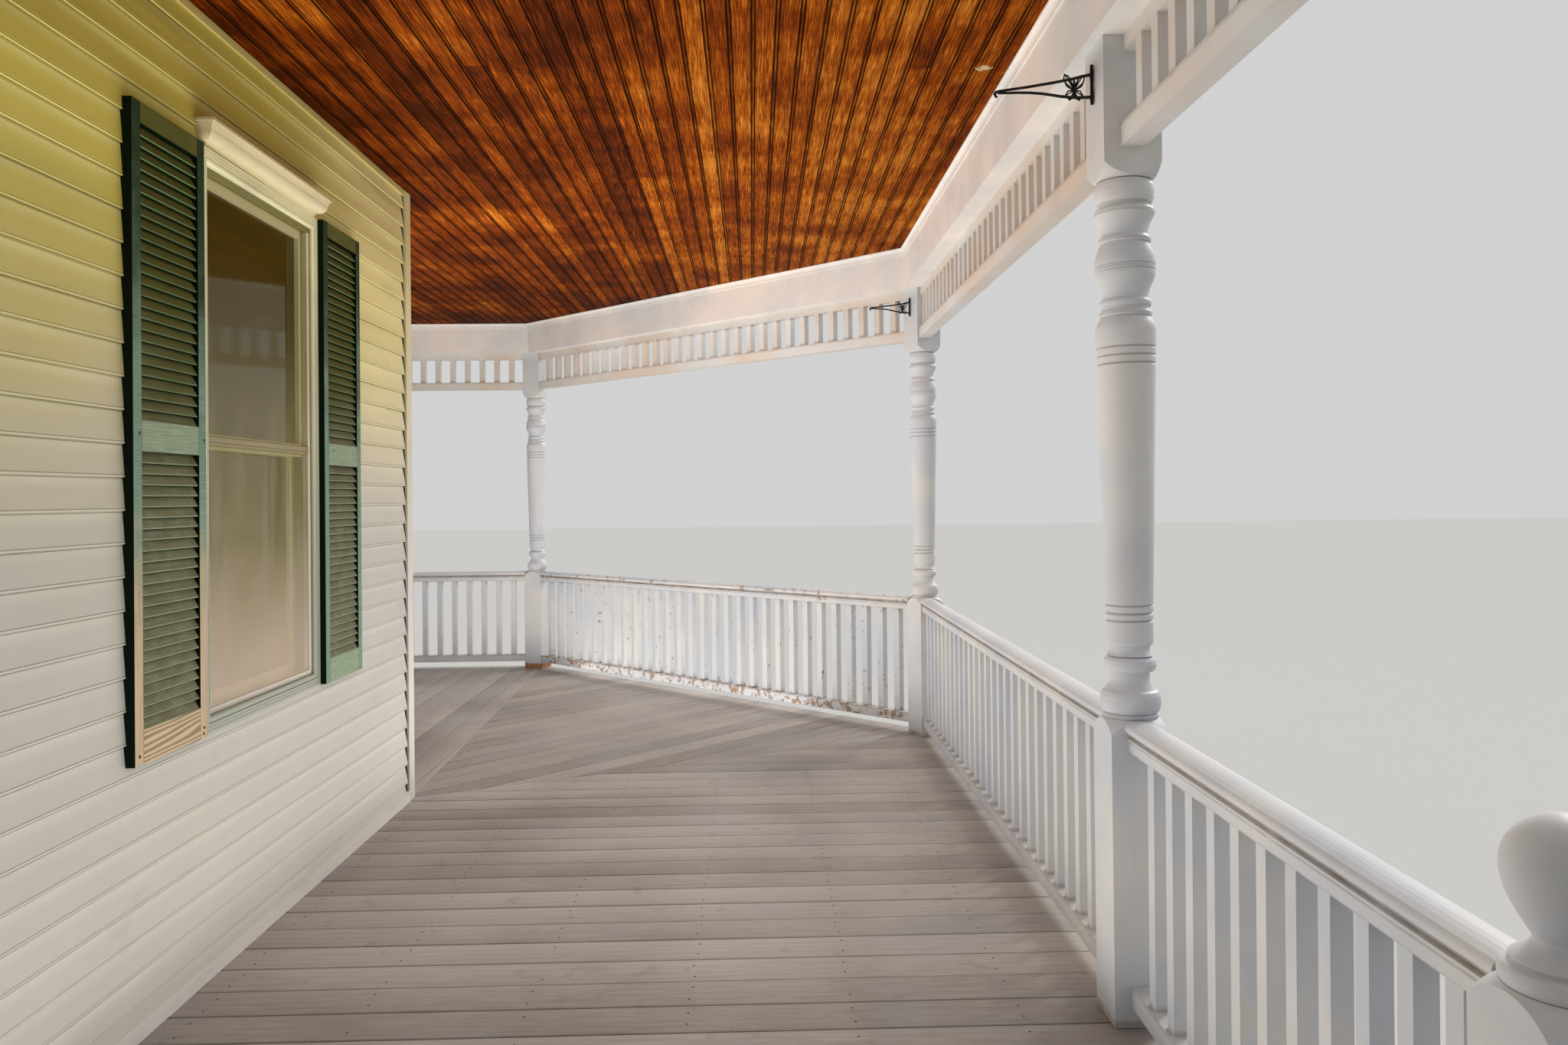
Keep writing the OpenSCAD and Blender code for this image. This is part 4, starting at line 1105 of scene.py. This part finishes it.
# Boards along y, each line of a board's section ending on the ceiling's own edge, with butt joints
def makeCeiling():
    size = beadSize
    pitch = size["pitch"]
    rng = np.random.default_rng(size["seed"])
    edge = edgeCorners(pastPosts("ceiling"))
    front, side, slant = edge[0][0], edge[3][1], edge[1].sum()
    across, up = beadedSection(size)
    parts = []
    for k in range(math.floor((westX - corner[0]) / pitch), math.ceil((front - corner[0]) / pitch)):
        x = corner[0] + k * pitch + across
        last = min(side, slant - corner[0] - k * pitch)
        cuts = [southY if k >= 0 else corner[1]]
        while last - cuts[-1] > size["longest"] + size["shortest"]:
            cuts.append(cuts[-1] + rng.uniform(size["shortest"], size["longest"]))
        z = ceilingZ + np.minimum(up + rng.uniform(0, size["sink"]), ceilingTop - ceilingZ)
        for n, stop in enumerate([*cuts[1:], np.minimum(side, slant - x)]):
            start = cuts[n] + (size["buttGap"] if n else 0)
            y = np.stack(np.broadcast_arrays(start, stop, x)[:2])
            points = join(np.clip(x, westX, front), y, z)
            parts.append(closedBody(points, join(y + rng.uniform(0, 60), across), rng.uniform()))
    addPiece("ceiling_boards", parts, "ceiling", ["ceiling"], 35)


makeCeiling()

# Roof

shingleSize = {"exposure": 0.127, "width": 0.305, "butt": 0.0055, "top": 0.0012, "slot": 0.003, "past": 0.016,
               "stray": 0.01, "ease": 0.0012, "seed": 31}
eaveOut = pastPosts("roof_front")


# How steeply a face of the roof falls, from the wall to the eave
def fallOf(outway):
    return (roofAtWall - eaveTop) / ((edgeCorners(eaveOut)[1:3] - corner) @ outway).max()


# Shingles course by course from the eave up: a face's band, cut to tabs, each at
# z = wall - fall away + lift, where the lift grows from top to butt towards the eave
def makeRoof():
    size = shingleSize
    width = size["width"]
    rng = np.random.default_rng(size["seed"])
    for (side, outway), outline in zip(outways.items(), threeFields(eaveOut + size["past"], size["past"])):
        alongWay = leftOf(outway)
        fall = fallOf(outway)
        exposure = size["exposure"] * math.cos(math.atan(fall))
        farthest = ((outline - corner) @ outway).max()
        reach = outline @ alongWay
        parts = []
        for k in range(math.ceil(farthest / exposure)):
            outer = farthest - k * exposure
            course = bandOf(outline - corner, outway, max(outer - exposure, 0), outer) + corner
            if tidyOutline(course) is None:
                continue
            offset = (k % 2) * width / 2 + rng.uniform(-size["stray"], size["stray"])
            for n in range(math.floor((reach.min() - offset) / width), math.ceil(reach.max() / width)):
                low = offset + n * width
                tab = tidyOutline(bandOf(course, alongWay, low, low + width - size["slot"]))
                if tab is None:
                    continue
                rings = insetRings(tab, [0, 0, size["ease"]])
                away = (rings - corner) @ outway
                lift = size["top"] + (size["butt"] - size["top"]) * (away - (outer - exposure)) / exposure
                z = roofAtWall - fall * away + lift * np.array([[0.0], [0.8], [1.0]])
                parts.append(closedBody(raised(rings, z), join(rings @ alongWay, away), rng.uniform()))
        addPiece("shingles_" + side, parts, "roofing")


makeRoof()

hipSize = {"half": 0.11, "exposure": 0.13, "short": 0.035, "lift": 0.008, "butt": 0.006, "under": 0.002}


# Caps over the two hips: a folded strip for each course, lower at its sides by the roof's fall
def makeHips():
    size = hipSize
    across = np.linspace(-size["half"], size["half"], 7)
    tips = edgeCorners(eaveOut)[1:3]
    parts = []
    for tip, ways in zip(tips, ((frontWay, slantWay), (slantWay, sideWay))):
        run = (tip - corner) / np.linalg.norm(tip - corner)
        length = np.linalg.norm(tip - corner) - size["short"]
        count = int(length / size["exposure"])
        for k in range(count):
            s = (np.array([[0.0], [0.5], [1.0]]) + k) * length / count
            plan = corner + s[..., None] * run + across[:, None] * leftOf(run)
            surface = roofAtWall - np.maximum(*[(plan - corner) @ way * fallOf(way) for way in ways])
            lift = size["lift"] + size["butt"] * np.array([[0.0], [0.5], [1.0]])
            front, back = raised(plan, surface + lift), raised(plan, surface + size["under"])
            parts.append(closedSheet(front, back, None, join(s, across), (k * 0.37) % 1.0))
    addPiece("hip_caps", parts, "roofing")


makeHips()

# Skirt

skirtLook = {"board": 0.143, "gap": 0.006, "thick": 0.022, "ease": 0.001, "uneven": 0.002, "clear": 0.001,
             "seed": 3}


def rectangle(low, high):
    return np.array([low, [high[0], low[1]], high, [low[0], high[1]]])


# Upright boards in place of the plain skirt: each is a short stretch of the skirt's plan, drawn up
def makeSkirt():
    look = skirtLook
    thick = look["thick"]
    outer = edgeCorners(pastPosts("skirt"))
    inner = edgeCorners(pastPosts("skirt") - thick)
    ways = (sideWay, leftOf(slantWay), -frontWay)
    runs = [(np.array([inner[k], outer[k], outer[k + 1], inner[k + 1]]), way) for k, way in enumerate(ways)]
    runs.append((rectangle([corner[0], southY], [inner[0][0] - look["clear"], southY + thick]), frontWay))
    runs.append((rectangle([westX, corner[1]], [westX + thick, inner[3][1] - look["clear"]]), sideWay))
    top = levelsOf("skirt")[1]
    rng = np.random.default_rng(look["seed"])
    parts = []
    for outline, way in runs:
        reach = outline @ way
        count = round((reach.max() - reach.min()) / look["board"])
        step = (reach.max() - reach.min()) / count
        for k in range(count):
            low = reach.min() + k * step + look["gap"] / 2
            board = tidyOutline(bandOf(outline, way, low, low + step - look["gap"]))
            if board is not None:
                parts.append(flatBoard(board, 0.0, top - rng.uniform(0, look["uneven"]), look["ease"], way,
                                       rng.uniform(0, 9), rng.uniform()))
    addPiece("skirt_boards", parts, "post", ["skirt"], 50)


makeSkirt()

# Window

windowLow, windowHigh = boxOf("window_frame")
ringLook = {
    "face": 0.042,
    "jamb": 0.0197,
    "nearOut": 0.019,  # the old frame stands a little out of square
    "farOut": 0.009,
    "stile": 0.016,
    "screenOut": -0.0045,
    "bar": 0.013,
    "meshBack": 0.004,
    "meshHalf": 0.0002,
}


# A ring round the window: section k sits inset[k] in from the frame's edge and out[k] off the wall,
# given for its near and its far side
def windowRing(inset, nearOut, farOut, margin=0.0):
    rings = insetRings(rectangle(windowLow[1:] + margin, windowHigh[1:] - margin), inset)
    out = np.stack([nearOut, farOut, farOut, nearOut], axis=1)
    points = join(corner[0] + out, rings[..., 0], rings[..., 1])
    girth = np.cumsum(np.abs(np.diff(inset, prepend=0)) + np.abs(np.diff(nearOut, prepend=0)))
    return makePart(points, [gridFaces(len(inset), 4, True, True)], join([0, 0.8, 2.4, 3.2], girth[:, None]))


# The frame's section: a flat face with two fine ribs and a groove, an ogee down to the opening, a
# grooved reveal, and a plain back
def makeWindowFrame():
    look = ringLook
    face, back = look["face"], look["face"] - look["jamb"]
    deep = windowLow[0] - corner[0]
    inset = [0, 0, 1, 8, 8.5, 9.5, 10, 17, 17.5, 18.5, 19, 26, 26.5, 29.5, 30, 33, 37, 40, 42]
    lower = [0, 1, 0, 0, 0.8, 0.8, 0, 0, 0.8, 0.8, 0, 0, 2.5, 2.5, 0.4, 0.6, 2.0, 4.0, 6.5]
    inset, lower = np.array([inset, lower]) / 1000
    inset = np.concatenate([inset, [face, face - 0.0012, face - 0.0012, face, face, back, back]])
    reveal = [0.0015, 0.0008, -0.0004, -0.0012, deep, deep, 0]
    sides = [np.concatenate([[0], out - lower[1:], reveal]) for out in (look["nearOut"], look["farOut"])]
    addPiece("window_frame_ribbed", [windowRing(inset, *sides)], "window", ["window_frame"], 30)


# Screen frame, its middle bar, and the mesh as a thin sheet over and under the bar
def makeScreen():
    look = ringLook
    low, high = boxOf("insect_screen")
    front, wide, bar = look["screenOut"], look["stile"], look["bar"]
    inner = low[0] - corner[0]
    lower = front - 0.0015
    inset = np.array([0, 0, 0.0015, 0.006, 0.007, 0.010, 0.011, wide, wide])
    out = np.array([inner, lower, front, front, lower, lower, front, front - 0.001, inner])
    ring = windowRing(inset, out, out, windowHigh[1] - high[1])
    addPiece("screen_frame", [ring], "screenFrame", ["insect_screen"], 30)
    middle = (windowLow[2] + windowHigh[2]) / 2
    lower = front - 0.002
    out = np.array([inner, lower, front, front, lower, lower, front, front, lower, inner])
    up = np.array([-bar, -bar, 0.002 - bar, -0.0055, -0.005, -0.0035, -0.003, bar - 0.002, bar, bar])
    lap = wide - 0.001
    ends = np.array([low[1] + lap, high[1] - lap])
    rings = join(corner[0] + out, ends[:, None], middle + up)
    addPiece("screen_bar", [closedBody(rings, rings[..., 1:])], "screenBar")
    under = bar - 0.001
    parts = []
    for levels in ([low[2] + lap, middle - under], [middle + under, high[2] - lap]):
        grid = join(corner[0] + front - look["meshBack"], ends, np.array(levels)[:, None])
        half = np.array([look["meshHalf"], 0, 0])
        parts.append(closedSheet(grid + half, grid - half))
    addPiece("screen_mesh", parts, "mesh")


# Crown over the window: fillets and steps under a quarter round, out = 21 + 25 sin a and
# z = 44 - 31.5 cos a in millimetres, with a plain lip. Its ends return to the wall by the same profile
def makeCrown():
    low, high = boxOf("window_crown")
    turn = np.linspace(0, math.pi / 2, 9)
    out = np.concatenate([[12, 12, 14, 14, 17, 17], 21 + 25 * np.sin(turn), [50, 50, 53, 53, 58, 58]]) / 1000
    up = np.concatenate([[0, 3, 3.5, 7, 8, 11], 44 - 31.5 * np.cos(turn), [52, 54, 54.5, 57, 58, 66]]) / 1000
    deep = high[0] - corner[0]
    back = deep - out
    out = out * deep / out.max()
    z = low[2] + up * (high[2] - low[2]) / up.max()
    x = corner[0] + np.stack([0 * out, out, out, 0 * out], axis=1)
    y = np.stack([low[1] + back, low[1] + back, high[1] - back, high[1] - back], axis=1)
    rings = join(x, y, z[:, None])
    crown = closedBody(rings, rings[..., 1:])
    addPiece("crown_moulding", [crown], "crown", ["window_crown"], 25)


makeWindowFrame()
makeScreen()
makeCrown()

# Screws in the shutters' stiles, one for each place along the wall and up it
screwAt = np.array([[-1.095, 2.661], [-1.408, 1.9006], [-1.0973, 1.8986], [-0.1822, 1.909],
                    [-1.4161, 1.1324], [-1.1053, 1.1375], [-1.1085, 1.122]])
screws = join(boxOf("shutter_left")[1][0], screwAt[:, 0], screwAt[:, 1])
addPiece("shutter_screws", studs(screws, 0.0042, 0.0012, (1, 0, 0), (0, 1, 0)), "iron")

# Plant brackets, with lines given in millimetres out from the strap and up

bracketLook = {
    "rod": 0.0043,
    "wire": 0.0026,
    "strap": [(5.5, 0), (5.5, 16), (5.5, 48), (5.5, 80), (5.5, 98.5)],
    "top": [(10, 74), (30, 70), (55, 63.5), (110, 53), (170, 43), (215, 36.5), (240, 33)],
    "bottom": [(10, 18.5), (40, 17.5), (60, 18.5), (84, 20.5), (103, 23.5), (132, 27.5), (160, 29.5),
               (189, 29.7), (215, 29), (240, 28.5)],
    "hook": [(236, 31.5), (244, 31.5), (247.5, 26), (245, 20), (240.5, 18.5)],
    "body": [(49.7, 60), (50, 46), (49.7, 30), (49.5, 19)],
    "veins": [
        [(50, 35), (61, 55), (73.5, 75.5)], [(50, 35), (62, 46), (74.5, 58)],
        [(50, 35), (57, 53), (64, 69)], [(49, 35), (43, 53), (36, 67)],
        [(49, 35), (39, 54), (26.5, 73.5)], [(49, 35), (38, 45), (25.5, 56)],
        [(50, 34), (60, 29), (70, 24)], [(50, 34), (56, 23), (62, 12)],
        [(49, 34), (40, 29), (30, 23)], [(49, 34), (44, 23), (38, 11.5)],
    ],
    "wings": [
        [(50.5, 36), (56, 54), (64, 70), (73.5, 75.5), (75.5, 64), (69, 47), (50.5, 34)],
        [(49.5, 36), (44, 54), (36, 68), (26.5, 73.5), (24.5, 62), (31, 46), (49.5, 34)],
        [(50.5, 34), (65, 34), (71, 24), (62, 11), (54, 16), (50, 30)],
        [(49.5, 34), (35, 34), (29, 23), (38, 10.5), (46, 15.5), (49.5, 30)],
    ],
}


# A rod along a line in the bracket's own plane: ring = point + r (cos a n + sin a w), where n is
# square to the line in the plane and w square to the plane
def rodAlong(line, radius, origin, outway, sides=8):
    line = np.array(line) / 1000
    way = np.gradient(line, axis=0)
    way = way / np.linalg.norm(way, axis=1, keepdims=True)
    up = np.array([0, 0, 1.0])
    square = -way[:, 1:] * outway + way[:, :1] * up
    middle = origin + line[:, :1] * outway + line[:, 1:] * up
    turn = np.linspace(0, 2 * math.pi, sides, endpoint=False)[:, None]
    ring = np.cos(turn) * square[:, None] + np.sin(turn) * np.cross(outway, up)
    reach = np.broadcast_to(radius, len(line))[:, None, None]
    return closedBody(middle[:, None] + reach * ring, np.zeros((len(line), sides, 2)))


def makeBracket(name, node, origin, outway):
    look = bracketLook
    rod, wire = look["rod"], look["wire"]
    lines = [(look["strap"], [0.004, 0.0052, 0.0042, 0.0052, 0.004])]
    lines += [(look[key], rod * np.linspace(1.0, 0.75, len(look[key]))) for key in ("top", "bottom")]
    lines += [(look["hook"], [wire, 0.0038, 0.0044, 0.0034, wire])]
    lines += [(look["body"], [wire, 0.0036, 0.0036, wire])]
    lines += [(wing, 0.8 * wire) for wing in look["wings"]]
    lines += [(vein, 0.6 * wire) for vein in look["veins"]]
    parts = [rodAlong(line, radius, origin, np.array([*outway, 0.0])) for line, radius in lines]
    addPiece(name, parts, "iron", [node])


low, high = boxOf("plant_bracket_b")
strapAt = np.array([high[0], (low[1] + high[1]) / 2, low[2]])
makeBracket("butterfly_bracket_b", "plant_bracket_b", strapAt, -frontWay)
low, high = boxOf("plant_bracket_c")
way = np.array([math.cos(math.pi / 8), math.sin(math.pi / 8)])
halfStrap = 0.007
strapAt = np.array([high[0] - halfStrap * way[1], high[1] - halfStrap * way[0], low[2]])
makeBracket("butterfly_bracket_c", "plant_bracket_c", strapAt, -way)

# Finishes of the frame's own pieces

nodeFinish = {
    "plaster": "front_wall side_wall",
    "masonry": "foundation piers",
    "baseTrim": "base_trim",
    "sash": "window_sashes",
    "glass": "window_glass",
    "bareShutter": "shutter_left",
    "shutter": "shutter_right",
    "timber": "floor_frame",
    "post": "post_a post_b post_c post_e newel_post",
    "rottedPost": "post_d",
    "railNewel": "rail_newel_b",
    "railFront": "rail_b_c",
    "railSlant": "rail_c_d",
    "railSide": "rail_d_e",
    "friezeFront": "frieze_a_b frieze_b_c",
    "friezeSlant": "frieze_c_d",
    "friezeSide": "frieze_d_e",
    "beamFront": "beam_front ceiling_moulding eave_trim roof_ends",
    "beamSlant": "beam_corner",
    "beamSide": "beam_side",
    "roofing": "roof_front roof_corner roof_side",
    "iron": "rail_clip_b rail_clip_c",
}
for finish, names in nodeFinish.items():
    for name in names.split():
        for materialSlot in nodes[name].material_slots:
            materialSlot.material = materials[finish]

# Floor of the studio, light and camera

stageLook = {
    "ground": shade(176, 175, 172),  # as the light meets it
    "seenGround": shade(205, 205, 204),  # as the camera does
    "half": 60.0,
    "world": 0.52,
    "backdrop": 0.64,
    "key": (1.4, 14, (0.62, 0.55, 0.56), (1.0, 0.97, 0.92)),  # strength, degrees wide, way to it, tint
    "soft": (1.3, 110, (0.75, 0.40, 0.45), (1.0, 0.99, 0.97)),
    "bounce": 1.6,
    "fill": 0.55,
    "wall": 3.2,
    "cornerMore": 1.35,  # the corner stands further from the open side
    "warm": (1.0, 0.97, 0.93),
    "plain": (1.0, 0.99, 0.97),
}


def addLamp(name, kind, energy, tint, way, axis):
    lamp = bpy.data.lights.new(name, kind)
    lamp.energy = energy
    lamp.color = tint
    holder = bpy.data.objects.new(name, lamp)
    holder.rotation_mode = "QUATERNION"
    holder.rotation_quaternion = Vector(way).to_track_quat(axis, "Y")
    bpy.context.scene.collection.objects.link(holder)
    return holder


# A soft square lamp that the camera doesn't see, as bright all over as level says: its power is
# level times pi times its area. It shines the way it faces, with its width level
def softPanel(name, middle, size, level, tint, facing):
    panel = addLamp(name, "AREA", level * math.pi * size[0] * size[1], tint, facing, "-Z")
    panel.data.shape = "RECTANGLE"
    panel.data.size, panel.data.size_y = size
    panel.location = middle
    panel.visible_camera = False
    panel.visible_glossy = False
    panel.visible_transmission = False


def makeFloor():
    look = stageLook
    finish = Finish("studioFloor", "z")
    seen = Value(addNode(finish.tree, "LightPath"), "Is Camera Ray")
    finish.set("Specular IOR Level", 0.0)
    finish.close(mix(seen, look["ground"], look["seenGround"]), 0.9)
    square = rectangle([-look["half"]] * 2, [look["half"]] * 2)
    mesh = bpy.data.meshes.new("studio_floor")
    mesh.from_pydata(raised(square, 0.0), [], [[0, 1, 2, 3]])
    mesh.materials.append(finish.material)
    floor = bpy.data.objects.new("studio_floor", mesh)
    bpy.context.scene.collection.objects.link(floor)


def makeWorld():
    world = bpy.data.worlds.new("studio")
    bpy.context.scene.world = world
    world.use_nodes = True
    back = world.node_tree.nodes["Background"]
    back.inputs["Color"].default_value = (1, 1, 1, 1)
    paths = addNode(world.node_tree, "LightPath")
    seen = Value(paths, "Is Camera Ray")
    for ray in ("Is Glossy Ray", "Is Transmission Ray"):
        seen = seen.most(Value(paths, ray))
    put(back.inputs["Strength"], seen * (stageLook["backdrop"] - stageLook["world"]) + stageLook["world"])


# Two suns from the open side, and panels that stand for the light between floor, ceiling and walls
def makeLamps():
    look = stageLook
    for name in ("key", "soft"):
        strength, wide, way, tint = look[name]
        addLamp(name, "SUN", strength, tint, way, "Z").data.angle = math.radians(wide)
    walk, walkSize = ((corner[0] + postLine["front"]) / 2, -0.5), (1.9, 4.6)
    turn, turnSize = (0.9, 2.9), (2.6, 2.2)
    low, high, mid, off = floorZ + 0.03, beamUnder - 0.05, 1.95, 0.3
    bounce, fill, wall, more = look["bounce"], look["fill"], look["wall"], look["cornerMore"]
    softPanel("bounce_front", (*walk, low), walkSize, bounce, look["warm"], (0, 0, 1))
    softPanel("bounce_corner", (*turn, low), turnSize, bounce * more, look["warm"], (0, 0, 1))
    softPanel("fill_front", (*walk, high), walkSize, fill, look["plain"], (0, 0, -1))
    softPanel("fill_corner", (*turn, high), turnSize, fill, look["plain"], (0, 0, -1))
    x, y, high, tip = corner[0] + off, corner[1] + off, 0.9, 0.6
    softPanel("wall_front", (x, -1.0, mid), (3.6, high), wall, look["warm"], (1, 0, tip))
    softPanel("wall_corner", (x, y, mid), (1.4, high), wall * more, look["warm"], (0.7, 0.7, tip))
    softPanel("wall_side", (corner[0] - 1.6, y, mid), (3.0, high), wall * more, look["warm"], (0, 1, tip))


cameraLook = {
    "at": (1.8995, -4.0945, 1.734),
    "lens": 25.49,
    "yaw": -0.0287,
    "pitch": 0.0077,
    "roll": -0.0105,
    "shift": -0.0222,
}


# The camera's axes: level and ahead by its yaw, then tipped by its pitch and turned by its roll
def makeCamera():
    look = cameraLook
    data = bpy.data.cameras.new("camera")
    data.lens = look["lens"]
    data.sensor_width = 36
    data.shift_y = look["shift"]
    data.clip_start = 0.05
    data.clip_end = 200
    ahead = np.array([-math.sin(look["yaw"]), math.cos(look["yaw"]), 0])
    up = np.array([0, 0, 1.0])
    right = np.cross(ahead, up)
    ahead = math.cos(look["pitch"]) * ahead + math.sin(look["pitch"]) * up
    up = np.cross(right, ahead)
    turnedRight = math.cos(look["roll"]) * right + math.sin(look["roll"]) * up
    turnedUp = math.cos(look["roll"]) * up - math.sin(look["roll"]) * right
    axes = Matrix(np.stack([turnedRight, turnedUp, -ahead], axis=1).tolist())
    camera = bpy.data.objects.new("camera", data)
    camera.rotation_mode = "QUATERNION"
    camera.rotation_quaternion = axes.to_quaternion()
    camera.location = look["at"]
    bpy.context.scene.collection.objects.link(camera)
    bpy.context.scene.camera = camera


makeFloor()
makeWorld()
makeLamps()
makeCamera()
bpy.context.scene.view_settings.view_transform = "Standard"
print("made the floor, the lamps and the camera")
